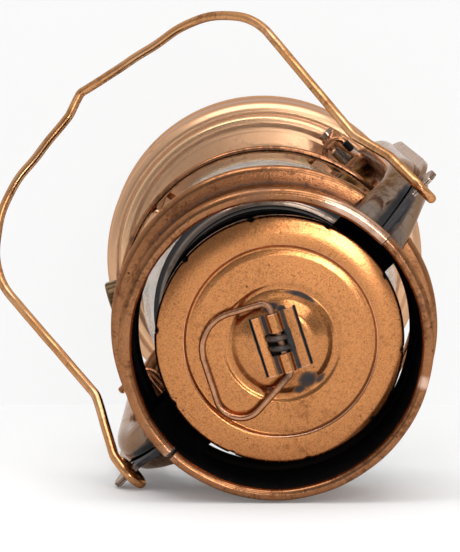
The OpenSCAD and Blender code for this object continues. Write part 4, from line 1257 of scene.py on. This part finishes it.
@dataclass
class SideTubes(Assembly):
    """Two bowed side tubes, each pressed in a front and a back half, with seam fins and bail ears.

    Attributes:
        middle: Distance of the straight part from the axis.
        upper: Centre height and radius of the bend at the crown.
        lower: Centre height and radius of the bend at the tank.
        sweep: Angle of the lower and of the upper bend, in degrees.
        depth: Half depth of the section, along the seam plane.
        round_off: Half length of the section's straight side.
        sheet: Thickness of the sheet.
        fins: Height of the outer and the inner seam fin.
        ear: Place of the bail's turning axis.
        wall: Middle radius of the crown band's wall, where a tube ends.
        chamber: Foot and top height of the air chamber's wall, where a tube starts.
        cone: Radius at the wall's foot, and how far it narrows to the top.
    """

    middle: float = 58.5
    upper: Pair = (186.0, 75.0)
    lower: Pair = (101.0, 55.0)
    sweep: Pair = (66.0, 46.0)
    depth: float = 5.5
    round_off: float = 2.0
    sheet: float = 0.8
    fins: Pair = (3.0, 1.5)
    ear: Pair = (60.0, 231.0)
    wall: float = 43.1
    chamber: Pair = (46.0, 63.5)
    cone: Pair = (36.8, 3.5)

    def spine(self) -> tuple[Array, Array]:
        """Middle line of the right tube, from the tank up, and the outward direction at each point.

        Returns:
            Points (x, z) and unit directions (x, z) away from the bends' centres.
        """
        low = np.radians(np.linspace(-self.sweep[0], 0.0, 46))
        high = np.radians(np.linspace(0.0, self.sweep[1], 60))
        climb = np.linspace(self.lower[0], self.upper[0], 26)[1:-1]
        angle = np.concatenate([low, np.zeros(len(climb)), high])
        away = unit(angle)
        bend = np.repeat([self.lower[1], 0.0, self.upper[1]], [len(low), len(climb), len(high)])
        level = np.concatenate([np.full(len(low), self.lower[0]), climb, np.full(len(high), self.upper[0])])
        return columns(self.middle - bend, level) + away * bend[:, None], away

    def shell_skin(self, side: Side, front: bool) -> Skin:
        """Half tube: a bent sheet section, half a stadium with two fins, carried along the spine.

        Near the crown the section widens in a flare with soft creases, and both ends are drawn onto
        the walls that they are soldered to.

        Args:
            side: Which tube.
            front: True for the front half.

        Returns:
            The half tube's skin with its ear plate.
        """
        half = self.sheet / 2
        path = bend_path([
            (self.depth + self.fins[0], half, 0), (self.depth - half, half, 0.5),
            (self.depth - half, self.round_off, 0.3)], 0.35)
        swing = np.linspace(0.0, math.pi, 30)[1:-1]
        arc = (self.depth - half) * unit(swing) + [0.0, self.round_off]
        inner = bend_path([(-self.depth + half, self.round_off, 0), (-self.depth + half, half, 0.5),
                           (-self.depth - self.fins[1], half, 0)], 0.35)
        loop = sheet_loop(np.concatenate([path, arc, inner]), half)
        spine, away = self.spine()
        run = (np.arange(len(spine)) / (len(spine) - 1))[:, None]
        flare = ease(run, 0.72, 0.92)
        out, across = loop[:, 0], loop[:, 1]
        bulge = ease(across, 0.9, 3.0)
        crease = np.sin(out * 2.1 + run * 9.0) * 0.2 + np.sin(out * 1.1 - run * 6.0) * 0.2
        y = across * (1.0 + 0.20 * flare * bulge) + crease * bulge * flare
        wide = out * (1.0 + 0.05 * flare * bulge)
        x = spine[:, :1] + away[:, :1] * wide
        z = spine[:, 1:] + away[:, 1:] * wide
        reach = np.hypot(x, y)
        pull = np.where(z > 200.0, np.maximum(1.0, self.wall / np.maximum(reach, 1.0)), 1.0)
        foot, roof = self.chamber
        cone = self.cone[0] - (np.clip(z, foot, roof) - foot) / (roof - foot) * self.cone[1]
        pull = np.where(z < roof - 0.3, np.maximum(1.0, cone / np.maximum(reach, 1.0)), pull)
        shell = columns(x * pull, y * pull, np.maximum(z, foot - 0.3))
        fin = ease(out, self.depth + 0.4, self.depth + 2.0) * (across < 1.2)
        # Rubbed mask: the seam fin is rubbed, the crease tops in the flare get painted highlights, and the
        # tube below the flare is rubbed pale, partly a painted reflection of the pale floor.
        ridge = 0.3 * fin + 2.6 * flare * np.clip(crease - 0.12, 0.0, 0.3)
        ridge = np.maximum(ridge, 0.62 * (1.0 - ease(run, 0.58, 0.74)))
        # Blackened mask: painted shade and dark reflection beside the seam fin where the flare starts, and
        # painted shade where the tube meets the crown band.
        dark = ease(run, 0.70, 0.80) * hump(across, 1.2, 1.7) * (1.0 - 0.8 * fin)
        dark = np.maximum(0.78 * dark * (out > -2.0), 0.45 * ease(run, 0.86, 0.93))
        mirror = np.array([side.value, -1.0 if front else 1.0, 1.0])
        skin = Skin.join([loft(shell, Ends.STRIP, ridge, dark), self.ear_skin()])
        return skin.put(lambda points: points * mirror).outward()

    def ear_skin(self) -> Skin:
        """Ear plate: a flat sheet between its outline and the round hole for the bail's eye.

        Returns:
            The right back ear's skin, as rings about the hole: face, edge, face, bore.
        """
        ear_x, ear_z = self.ear
        hole = np.array([ear_x, ear_z - 4.7])
        outline = bend_path([
            (43.2, 238.6, 0), (43.2, 245.4, 0.8), (50.0, 241.0, 2), (56.4, ear_z + 2, 2),
            (64.4, ear_z + 2, 1.5), (66.0, ear_z - 1, 1.5), (66.0, ear_z - 5, 2), (62.6, 218.0, 1),
            (58.2, 213.6, 0.5), (55.0, 220.6, 4), (50.0, 230.0, 4), (43.2, 238.6, 0)], 0.4)[:-1]
        around = outline - hole
        angle = np.arctan2(around[:, 1], around[:, 0])
        order = np.argsort(angle)
        angle, far = angle[order], np.linalg.norm(around[order], axis=1)
        way = unit(angle)
        bevel, bore = 0.14, 2.45
        levels = [(bore, bevel), (bore + bevel, 0.0), (far - bevel, 0.0), (far, bevel),
                  (far, self.sheet - bevel), (far - bevel, self.sheet), (bore + bevel, self.sheet),
                  (bore, self.sheet - bevel)]
        rings = []
        for radius, level in levels:
            flat = hole + way * np.broadcast_to(radius, far.shape)[:, None]
            rings.append(columns(flat[:, 0], level, flat[:, 1]))
        wear_and_highlight = np.array([0.4, 0.2, 0.1, 0.35, 0.35, 0.1, 0.2, 0.4])[:, None]
        soot = 0.7 * ease(62.0 - outline[order][:, 0], 0.0, 8.0)
        return loft(np.stack(rings), Ends.JOINED, wear_and_highlight, np.broadcast_to(soot, (8, len(soot))))

    def pieces(self, finish: Finishes) -> Iterator[Piece]:
        """The four half tubes.

        Args:
            finish: The lantern's finishes.

        Returns:
            What make_piece is given for each of them.
        """
        for side in Side:
            for front in (True, False):
                place = f"{side.name.lower()}_{'front' if front else 'back'}"
                yield (f"duct_{place}", self.shell_skin(side, front), finish.tube, "frame", "copper",
                       [f"tube_{place}"], 34.0)


@dataclass
class Bail(Assembly):
    """Carrying bail: one wire with a hanging kink and an eye at each end.

    Attributes:
        eye_x: Distance of the eyes from the axis.
        axis_z: Height of the turning axis.
        eye_r: Radius of an eye.
        eye_turn: How far an eye is bent round, in degrees.
        wire_r: Radius of the wire.
        drop: Angle of the stored bail below level, in degrees.
    """

    eye_x: float = 60.0
    axis_z: float = 231.0
    eye_r: float = 4.5
    eye_turn: float = 286.8
    wire_r: float = 1.45
    drop: float = 45.0

    def skin(self) -> Skin:
        """Bail: an eye, the flat bent bow and the other eye as one path, with a round section.

        Returns:
            The bail's skin where it is stored.
        """
        bow = bend_path([
            (self.eye_x, 0, 0), (self.eye_x, 5, 8), (self.eye_x - 6.7, 27, 9), (self.eye_x - 2.2, 112.9, 35),
            (4.3, 120.2, 6), (-3.1, 124.4, 2.5), (-11, 121.2, 8), (-self.eye_x - 1.7, 106.8, 30),
            (-self.eye_x + 3.1, 28, 12), (-self.eye_x, 13, 16), (-self.eye_x, 0, 0)], 0.8)
        run = np.linspace(0.0, 1.0, len(bow))
        calm = ease(run, 0.02, 0.10) * ease(1.0 - run, 0.02, 0.10)
        sway = (0.16 * np.sin(run * 71.0) + 0.12 * np.sin(run * 143.0 + 1.0)) * calm
        main = columns(bow[:, 0], -bow[:, 1], self.eye_r + sway)
        swing = np.linspace(math.radians(self.eye_turn), 0.0, 46)[:-1]
        aside = columns(0.0, np.sin(swing), np.cos(swing))
        curl = self.eye_r * aside + [self.eye_x, 0.0, 0.0]
        path = np.concatenate([curl, main, (curl * [-1, 1, 1])[::-1]])
        up = np.concatenate([aside, np.tile([0.0, 0.0, 1.0], (len(main), 1)), aside[::-1]])
        path, up = (turned(a, self.drop, "X") for a in (path, up))
        path[:, 2] += self.axis_z
        rub = np.pad(0.25 + 0.2 * np.sin(run * 19.0) ** 2, len(swing), constant_values=0.2)
        return wire(path, up, self.wire_r, 20, wear_and_highlight=rub)

    def pieces(self, finish: Finishes) -> Iterator[Piece]:
        """The bail."""
        yield "carry_bail", self.skin(), finish.wire, "bail", "copper", ["bail"]


@dataclass
class Tank(Assembly):
    """Oil tank with its stepped shoulder, and the filler.

    Attributes:
        filler_turn: Direction of the filler, in degrees.
        filler_r: Distance of the filler from the axis.
        filler_top: Height of the filler cap's inner top.
    """

    filler_turn: float = 45.0
    filler_r: float = 48.8
    filler_top: float = 55.5

    def on_filler(self, points: Array) -> Array:
        """Moves points from the filler's own axis to the lantern's."""
        return turned(points + np.array([self.filler_r, 0.0, 0.0]), self.filler_turn, "Z")

    def shell_skin(self) -> Skin:
        """Tank: a turned profile with a rolled foot seam, the drum, two shoulder rings and the top.

        Returns:
            The tank's skin, as a bent sheet.
        """
        outer = bend_path([
            (59.2, 1.25, 0), (59.9, 1.45, 0.3), (60.0, 3.2, 0.9), (59.35, 4.6, 0.6), (59.3, 20.0, 30),
            (59.5, 36.2, 2), (59.2, 40.0, 3.2), (56.6, 42.0, 2.4), (54.9, 41.9, 0.5), (54.55, 41.6, 0.2),
            (54.5, 43.4, 0.5),
            (53.6, 44.9, 1.4), (51.8, 45.25, 1.6), (49.6, 45.0, 0.8), (48.6, 45.55, 0.8), (44.0, 46.0, 3),
            (30.0, 46.0, 1)], 0.35)
        inner = np.array([[30.0, 45.3], [44.0, 45.2], [50.0, 44.3], [53.4, 43.0], [56.0, 40.6], [58.2, 38.0],
                          [58.5, 30.0], [58.5, 1.25]])
        profile = np.concatenate([outer, inner])
        reach, z = profile[:, 0], profile[:, 1]
        ridge = hump(reach, 53.4, 0.9) + 0.7 * hump(reach, 59.9, 0.18)
        groove = 0.3 * hump(reach, 54.6, 0.25) * (z > 40.0)
        near = 0.5 * (1.0 - ease(reach, 36.0, 42.0))
        return lathe(profile, 300, Ends.JOINED, 0.15 + 0.5 * ridge * (z < 45.6), groove + near)

    def filler_cap_skin(self) -> Skin:
        """Filler cap: a turned profile whose skirt is ribbed by a cosine round its edge.

        Returns:
            The cap's skin.
        """
        top = self.filler_top
        profile = np.concatenate([bend_path([
            (0.2, top + 2.2, 0), (6.2, top + 2.2, 0.7), (7.4, top + 1.3, 0.8), (9.6, top + 1.2, 0.6),
            (10.4, top + 0.5, 0.5), (10.4, top - 6.7, 0.25), (10.1, top - 7.0, 0.2),
            (8.5, top - 6.9, 0)], 0.25),
            np.array([[8.4, top - 4.0], [8.4, top - 0.1], [0.2, top]])])
        reach, height, turn = profile[:, :1], profile[:, 1:], full_turn(288)
        skirt = ease(reach, 9.7, 10.3) * ease(-height, -top - 1.0, -top)
        rings = around_axis(reach - 0.55 * skirt * ease(np.cos(18 * turn), 0.2, 0.9), height, turn)
        wear_and_highlight = 0.2 + 0.5 * skirt * ease(-np.cos(18 * turn), 0.0, 0.9)
        return loft(rings, Ends.FAN, wear_and_highlight).put(self.on_filler)

    def gasket_skin(self) -> Skin:
        """Filler gasket: a flat ring with round edges.

        Returns:
            The gasket's skin.
        """
        swing, middle, half_sizes = full_turn(28), np.array([7.0, 54.86]), np.array([0.98, 0.54])
        flat = middle + half_sizes * squared(unit(swing), 0.5)
        return lathe(flat, 64, Ends.JOINED).put(self.on_filler)

    def pieces(self, finish: Finishes) -> Iterator[Piece]:
        """The tank's pieces.

        Args:
            finish: The lantern's finishes.

        Returns:
            What make_piece is given for each of them.
        """
        yield "tank_drum", self.shell_skin(), finish.tank, "frame", "copper", ["tank_shell"]
        yield "filler_lid", self.filler_cap_skin(), finish.tank, "filler_cap", "copper", ["filler_cap"]
        yield "filler_washer", self.gasket_skin(), finish.rubber, "gasket", "rubber", ["filler_gasket"]


@dataclass
class Globe(Assembly):
    """Glass globe and the wire guard that lifts with it.

    Attributes:
        foot: Radius and height at the foot.
        belly: Radius and height at the belly.
        mouth: Radius and height at the mouth.
        glass: Thickness of the glass.
        ring: Radius and height of the guard ring.
        guard_r: Radius of the guard wire.
        hoop_foot: Radius and height of a hoop's lower end, under the globe plate.
        hoop_turn: Direction of the front hoop, in degrees.
    """

    foot: Pair = (31.0, 67.5)
    belly: Pair = (43.5, 118.0)
    mouth: Pair = (27.0, 190.0)
    glass: float = 2.0
    ring: Pair = (48.5, 152.0)
    guard_r: float = 1.2
    hoop_foot: Pair = (32.6, 65.3)
    hoop_turn: float = -82.0

    def outline(self, height: Array) -> Array:
        """Outer radius at a height: one round sweep below the belly and one above it.

        Args:
            height: Heights on the globe.

        Returns:
            The radius at each of them.
        """
        low_run, low_in = self.belly[1] - self.foot[1], self.belly[0] - self.foot[0]
        top_run, top_in = self.mouth[1] - self.belly[1], self.belly[0] - self.mouth[0]
        low_r = (low_run**2 + low_in**2) / (2 * low_in)
        top_r = (top_run**2 + top_in**2) / (2 * top_in)
        sweep = np.where(height < self.belly[1], low_r, top_r)
        return self.belly[0] - sweep + np.sqrt(sweep**2 - (height - self.belly[1]) ** 2)

    def glass_skin(self) -> Skin:
        """Globe: the outline and the same outline a glass thickness further in, with round lips.

        Returns:
            The globe's skin.
        """
        height = np.linspace(self.foot[1] + 0.9, self.mouth[1] - 0.9, 90)
        outer = columns(self.outline(height), height)
        inner = columns(self.outline(height) - self.glass, height)[::-1]
        swing = np.linspace(0.0, math.pi, 9)[1:-1]
        lip = columns(np.cos(swing), 0.9 * np.sin(swing)) * self.glass / 2
        top = outer[-1] + [-self.glass / 2, 0.0] + lip
        low = inner[-1] + [self.glass / 2, 0.0] - lip
        return lathe(np.concatenate([outer, top, inner, low]), 200, Ends.JOINED)

    def ring_skin(self) -> Skin:
        """Guard ring: a round wire closed on itself."""
        path = around_axis(*self.ring, full_turn(240))
        return wire(path, (0.0, 0.0, 1.0), self.guard_r, 14, True, wear_and_highlight=0.35)

    def hoop_skin(self, turn: float) -> Skin:
        """Guard hoop: a wire from under the globe plate out and up to the ring, with a solder blob.

        Args:
            turn: Direction of the hoop round the lantern, in degrees.

        Returns:
            The hoop's skin.
        """
        inward = self.ring[0] - 2 * self.guard_r
        foot_r, foot_z = self.hoop_foot
        flat = bend_path([(foot_r, foot_z, 0), (inward, foot_z, 9), (inward, self.ring[1] + 4, 0)], 1.0)
        path = columns(flat[:, 0], 0.0, flat[:, 1])
        swell = hump(flat[:, 1], self.ring[1], 1.6) * (flat[:, 0] > inward - 1)
        # The rubbed mask rises to full at the hoop's top end: a painted highlight.
        tip = ease(flat[:, 1], self.ring[1] + 1.0, self.ring[1] + 3.0)
        skin = wire(path, (0.0, 1.0, 0.0), self.guard_r + 0.35 * swell, 14, wear_and_highlight=0.3 + 0.7 * tip,
                    soot=0.35 * swell)
        return skin.put(lambda points: turned(points, turn, "Z"))

    def prong_skin(self) -> Skin:
        """Guide prongs: a wire on the guard ring whose two ends pass beside the right tube.

        Returns:
            The wire's skin.
        """
        reach, aside = 56.5, 12.6
        flat = bend_path([(reach, -aside, 0), (44.6, -aside, 4), (44.6, aside, 4), (reach, aside, 0)], 0.8)
        path = at_height(flat, self.ring[1] + 2 * self.guard_r)
        return wire(path, (0.0, 0.0, 1.0), self.guard_r, 14, wear_and_highlight=0.35)

    def pieces(self, finish: Finishes) -> Iterator[Piece]:
        """The globe and its guard.

        Args:
            finish: The lantern's finishes.

        Returns:
            What make_piece is given for each of them.
        """
        carriage = "globe_carriage"
        yield "globe_blown", self.glass_skin(), finish.glass, carriage, "glass", ["globe"]
        for name, skin, node in (("guard_loop", self.ring_skin(), "guard_ring"),
                                 ("guard_hoop_front", self.hoop_skin(self.hoop_turn), "hoop_front"),
                                 ("guard_hoop_back", self.hoop_skin(self.hoop_turn + 180), "hoop_back"),
                                 ("tube_prongs", self.prong_skin(), "guide_prongs")):
            yield name, skin, finish.ring, carriage, "copper", [node]


@dataclass
class Lever(Assembly):
    """Globe lever: a hub on the post, a long arm with a thumb loop and a short arm under the plate.

    Attributes:
        pivot: Place of the pivot.
        loop_z: Height of the thumb loop.
        wire_r: Radius of the wire.
        loop: Corners of the thumb loop from the pivot, with bend radii.
        tip: Place of the short arm's tip from the pivot.
    """

    pivot: Triple = (-50.0, -16.0, 70.4)
    loop_z: float = 148.8
    wire_r: float = 1.2
    loop: tuple[Triple, ...] = (
        (-3.0, 4.2, 0.0), (5.2, 4.2, 3.4), (5.2, -5.8, 3.4), (-3.0, -5.8, 3.0), (-3.0, 0.6, 0.0))
    tip: Pair = (14.0, -6.6)

    def skin(self) -> Skin:
        """Lever: wires along the arms and the loop, and a turned hub about the pivot.

        Returns:
            The lever's skin.
        """
        at = np.array(self.pivot)
        flat = bend_path(self.loop, 0.6)
        ring = at_height(flat, self.loop_z - at[2])
        # Blackened mask: the whole loop a little, and most of all its end.
        hook = 0.3 + 0.65 * (np.arange(len(ring)) > 0.86 * len(ring))
        arm = np.linspace([0.0, 0.0, 0.0], ring[0], 40)
        short = np.linspace([0.0, 0.0, 0.0], [self.tip[0], 0.0, self.tip[1]], 12)
        pin = np.linspace([self.tip[0], -2.2, -5.4], [self.tip[0], 2.2, -5.4], 6)
        side, up = (0.0, 1.0, 0.0), (0.0, 0.0, 1.0)
        wires = [wire(path, upright, self.wire_r, 14, wear_and_highlight=wear_and_highlight, soot=soot) for path, upright, wear_and_highlight, soot in (
            (arm, side, 0.3, 0.0), (ring, up, 0.3, hook), (short, side, 0.3, 0.0), (pin, up, 0.0, 0.0))]
        outline = bend_path([(1.7, 2.4, 0), (3.3, 2.4, 0.4), (3.4, 1.9, 0.4), (3.4, -1.9, 0.4),
                             (3.3, -2.4, 0.4), (1.7, -2.4, 0)], 0.25)
        hub = lathe(outline, 48, Ends.JOINED, 0.3).put(lambda points: turned(points, 90.0, "X"))
        return Skin.join([*wires, hub]).put(lambda points: points + at)

    def pieces(self, finish: Finishes) -> Iterator[Piece]:
        """The lever."""
        yield "thumb_lever", self.skin(), finish.ring, "lever", "copper", ["lift_lever"]


@dataclass
class Burner(Assembly):
    """Wick and wick knob.

    Attributes:
        turn: Direction of the wick shaft, in degrees.
        knob_x: Distance of the knob's outer face from the axis.
        shaft: Sideways place and height of the shaft.
        knob_r: Radius of the knob.
    """

    turn: float = -27.0
    knob_x: float = 59.0
    shaft: Pair = (-4.3, 55.0)
    knob_r: float = 7.0

    def wick_skin(self) -> Skin:
        """Wick: a flat strip whose faces ripple with the weave and whose lit end is uneven.

        Returns:
            The wick's skin.
        """
        half_w, half_t, low, top = 7.0, 1.0, 8.0, 86.0
        swing = full_turn(96)
        wide, thick = half_w * squared(np.cos(swing), 0.35), half_t * squared(np.sin(swing), 0.35)
        height = np.linspace(low, top, 130)[:, None]
        ripple = 1.0 - 0.07 * (0.5 + 0.5 * np.cos(height * 5.2)) - 0.06 * (0.5 + 0.5 * np.cos(wide * 6.0))
        rings = columns(wide, thick * ripple, height)
        rings[..., 2] -= 0.5 * ease(height, 84.0, 86.0) * (0.5 + 0.5 * np.sin(wide * 1.7 + 0.8))
        return loft(rings).put(lambda points: turned(points, self.turn, "Z"))

    def knob_skin(self) -> Skin:
        """Wick knob: a turned disc, dished on its face and ribbed by a cosine round its edge.

        Returns:
            The knob's skin.
        """
        radius = self.knob_r
        profile = bend_path([
            (0.2, 4.6, 0), (3.6, 4.5, 1), (5.0, 4.95, 0.8), (radius - 0.4, 5.0, 0.3), (radius, 4.5, 0.4),
            (radius, 0.5, 0.4), (radius - 0.5, 0.0, 0.3), (2.6, 0.1, 0.5), (2.2, -0.4, 0.2),
            (1.4, -0.4, 0)], 0.2)
        turn = full_turn(256)
        rim = ease(profile[:, :1], radius - 0.9, radius - 0.05)
        reach = profile[:, :1] - 0.65 * rim * ease(np.cos(16 * turn), 0.1, 0.9)
        rings = around_axis(reach, profile[:, 1:], turn)
        place = np.array([self.knob_x - 5.0, *self.shaft])
        return loft(rings, Ends.FAN, 0.2 + 0.5 * rim).put(
            lambda points: turned(turned(points, 90.0, "Y") + place, self.turn, "Z"))

    def pieces(self, finish: Finishes) -> Iterator[Piece]:
        """The wick and the knob."""
        yield "wick_strip", self.wick_skin(), finish.cotton, "wick", "cotton", ["wick"], 60.0
        yield "knob_ribbed", self.knob_skin(), finish.bronze, "wick_drive", "brass", ["wick_knob"]


def dress_nodes(nodes: dict[str, bpy.types.Object], finish: Finishes) -> None:
    """Gives a finish to each CAD node that stays in view.

    Args:
        nodes: The CAD nodes by name.
        finish: The lantern's finishes.
    """
    wanted = {
        "tank": ("tank_bottom",),
        "tube": ("air_chamber", "lever_post"),
        "black": ("inlet_right", "inlet_left", "spring_bar", "hood_chimney"),
        "brass": ("filler_neck", "burner_plate", "wick_tube", "burner_dome", "shaft_sleeve", "globe_plate"),
        "steel": ("wick_shaft",),
    }
    for kind, names in wanted.items():
        for name in names:
            mesh = nodes[name].data
            mesh.materials.clear()
            mesh.materials.append(getattr(finish, kind))
            LOG.info("%s: dressed in %s", name, kind)


# Studio


@dataclass
class Studio:
    """Camera, floors and soft lights.

    The lantern lies on its side in the picture, so the camera's own right and back directions are
    given in the lantern's frame, and a second pale floor touches the crown and the tank below it.

    Attributes:
        eye: Place of the camera, in millimetres.
        right: The picture's right.
        back: Towards the viewer.
        lens: Focal length on a sensor 36 mm wide.
        aim: Point that the lamps face, in metres.
        below: Level direction from the lantern's axis towards the table.
        tank_touch: Distance from the axis, and height, at which the table touches the tank, in metres.
        crown_touch: The same for the crown.
    """

    eye: Triple = (-57.969, -76.632, 895.922)
    right: Triple = (-0.7089, 0.7053, -0.0001)
    back: Triple = (-0.0832, -0.0835, 0.9930)
    lens: float = 148.92
    aim: Triple = (0.0, 0.0, 0.17)
    below: Triple = (0.7053, 0.7089, 0.0)
    tank_touch: Pair = (0.0600, 0.038)
    crown_touch: Pair = (0.0452, 0.2599)

    def axes(self) -> Matrix:
        """The camera's axes as a rotation, made exactly square.

        Returns:
            The matrix, with right, up and back in its columns.
        """
        back = Vector(self.back).normalized()
        right = Vector(self.right)
        right = (right - right.dot(back) * back).normalized()
        return Matrix((right, back.cross(right), back)).transposed()

    def camera(self) -> None:
        """Makes the camera and sets it for the scene."""
        data = bpy.data.cameras.new("picture_camera")
        data.lens = self.lens
        data.sensor_width = 36.0
        data.clip_start, data.clip_end = 0.05, 60.0
        camera = placed("picture_camera", data)
        camera.matrix_world = Matrix.Translation(Vector(self.eye) * MM) @ self.axes().to_4x4()
        bpy.context.scene.camera = camera

    def floor_material(self, name: str, one_sided: bool) -> Material:
        """Pale matt floor that stays pale in the picture and in reflections, with a soft shadow.

        Args:
            name: Material name.
            one_sided: True for a floor that isn't there from below, or for a camera beside the lantern.

        Returns:
            The material.
        """
        material, graph = new_material(name)
        path = graph.node("ShaderNodeLightPath", {}, {})
        camera, *others = (Term(graph, path.outputs[ray]) for ray in (
            "Is Camera Ray", "Is Glossy Ray", "Is Transmission Ray"))
        seen = sum(others, camera)
        tint = graph.noise(1.3, 2.0)
        matt = graph.node("ShaderNodeBsdfDiffuse", {}, {
            "Color": graph.blend(tint, (0.88, 0.885, 0.89), (0.91, 0.91, 0.91))})
        glow = graph.node("ShaderNodeEmission", {}, {"Color": (0.965, 0.965, 0.965, 1.0), "Strength": 1.0})
        share = seen.clamp() * 0.9
        if one_sided:
            share = seen.clamp() * (0.92 - graph.axis("Z").over(0.03, 0.24) * 0.80)
        pale = graph.node("ShaderNodeMixShader", {}, {0: share, 1: matt.outputs[0], 2: glow.outputs[0]})
        if one_sided:
            side = graph.node("ShaderNodeNewGeometry", {}, {})
            clear = graph.node("ShaderNodeBsdfTransparent", {}, {})
            aside = 1.0 - graph.axis("Z", side.outputs["Incoming"]).over(0.6, 0.8)
            gone = Term(graph, side.outputs["Backfacing"]) + camera * aside
            pale = graph.node("ShaderNodeMixShader", {}, {
                0: gone.clamp(), 1: pale.outputs[0], 2: clear.outputs[0]})
        graph.surface(pale)
        return material

    def floor(self, name: str, centre: Vector, across: Vector, along: Vector, one_sided: bool) -> None:
        """Makes one square floor as a grid of quads.

        Args:
            name: Name of the floor.
            centre: Its middle, in metres.
            across: Half its width as a vector.
            along: Half its length as a vector; across x along points up from the floor.
            one_sided: True for a floor that isn't there from below.
        """
        count = 9
        share = np.linspace(-1.0, 1.0, count)
        u, v = np.meshgrid(share, share, indexing="ij")
        points = np.array(centre) + u[..., None] * np.array(across) + v[..., None] * np.array(along)
        index = np.arange(count * count).reshape(count, count)
        faces = columns(index[:-1, :-1], index[1:, :-1], index[1:, 1:], index[:-1, 1:]).reshape(-1, 4)
        mesh = bpy.data.meshes.new(name)
        mesh.from_pydata(points.reshape(-1, 3).tolist(), [], faces.tolist())
        mesh.materials.append(self.floor_material(name, one_sided))
        plane = placed(name, mesh)

    def floors(self) -> None:
        """Makes the floor that the lantern stands on and the one that it lies on in the picture."""
        self.floor("ground", Vector((0.0, 0.0, 0.0)), Vector((6.0, 0.0, 0.0)), Vector((0.0, 6.0, 0.0)), False)
        side = Vector(self.below).normalized()
        low, high = (side * out + Vector((0, 0, z)) for out, z in (self.tank_touch, self.crown_touch))
        climb = (high - low).normalized()
        level = Vector((0.0, 0.0, 1.0)).cross(side).normalized()
        self.floor("table", low + climb, level * 3.0, climb * -1.05, True)

    def light(self, name: str, place: Sequence[float], size: Pair, watts: float,
              colour: Colour) -> None:
        """Makes one soft lamp that faces the lantern.

        Args:
            name: Name of the lamp.
            place: Offset from the aim along the picture's right, up and back, in metres.
            size: Width and height, in metres.
            watts: Power.
            colour: Colour of the light.
        """
        data = bpy.data.lights.new(name, "AREA")
        data.shape, data.size, data.size_y = "RECTANGLE", size[0], size[1]
        data.energy, data.color = watts, colour
        lamp = placed(name, data)
        offset = self.axes() @ Vector(place)
        lamp.location = Vector(self.aim) + offset
        lamp.rotation_mode = "QUATERNION"
        lamp.rotation_quaternion = (-offset).to_track_quat("-Z", "Y")

    def lights(self) -> None:
        """Makes the key, the side light and the top light."""
        self.light("key", (0.275, 0.06, 1.38), (0.16, 0.28), 2.6, (1.0, 0.985, 0.96))
        self.light("side", (0.45, 0.75, 1.25), (0.7, 0.5), 4.0, (1.0, 0.99, 0.97))
        self.light("top", (0.0, 1.35, 0.4), (1.4, 0.8), 11.0, (1.0, 0.99, 0.97))

    def world(self) -> None:
        """Sets a pale surround seen straight by the camera, and a softer one, darker towards the top, for the
        light and for reflections.
        """
        world = bpy.data.worlds.new("studio")
        bpy.context.scene.world = world
        world.use_nodes = True
        graph = Graph(world.node_tree)
        path = graph.node("ShaderNodeLightPath", {}, {})
        seen = Term(graph, path.outputs["Is Camera Ray"])
        way = graph.node("ShaderNodeTexCoord", {}, {})
        climb = graph.axis("Z", way.outputs["Generated"])
        level = 0.70 - climb.over(0.35, 0.98) * 0.43
        soft = graph.node("ShaderNodeBackground", {}, {"Color": (0.96, 0.975, 1.0, 1.0), "Strength": level})
        pale = graph.node("ShaderNodeBackground", {}, {"Color": (0.965, 0.968, 0.97, 1.0), "Strength": 1.0})
        both = graph.node("ShaderNodeMixShader", {}, {0: seen, 1: soft.outputs[0], 2: pale.outputs[0]})
        graph.surface(both, "ShaderNodeOutputWorld")

    def build(self) -> None:
        """Makes the whole studio."""
        self.camera()
        self.floors()
        self.lights()
        self.world()
        bpy.context.scene.view_settings.view_transform = "Standard"


def main() -> None:
    """Loads the frame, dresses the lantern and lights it."""
    logging.basicConfig(level=logging.INFO, format="%(name)s: %(message)s")
    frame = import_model()
    Studio().build()
    finish = Finishes()
    for part in (Hood(), Crown(), SideTubes(), Bail(), Tank(), Globe(), Lever(), Burner()):
        part.build(finish)
        LOG.info("%s done", type(part).__name__)
    dress_nodes(frame["nodes"], finish)
    bpy.context.view_layer.update()
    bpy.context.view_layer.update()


if __name__ == "__main__":
    main()
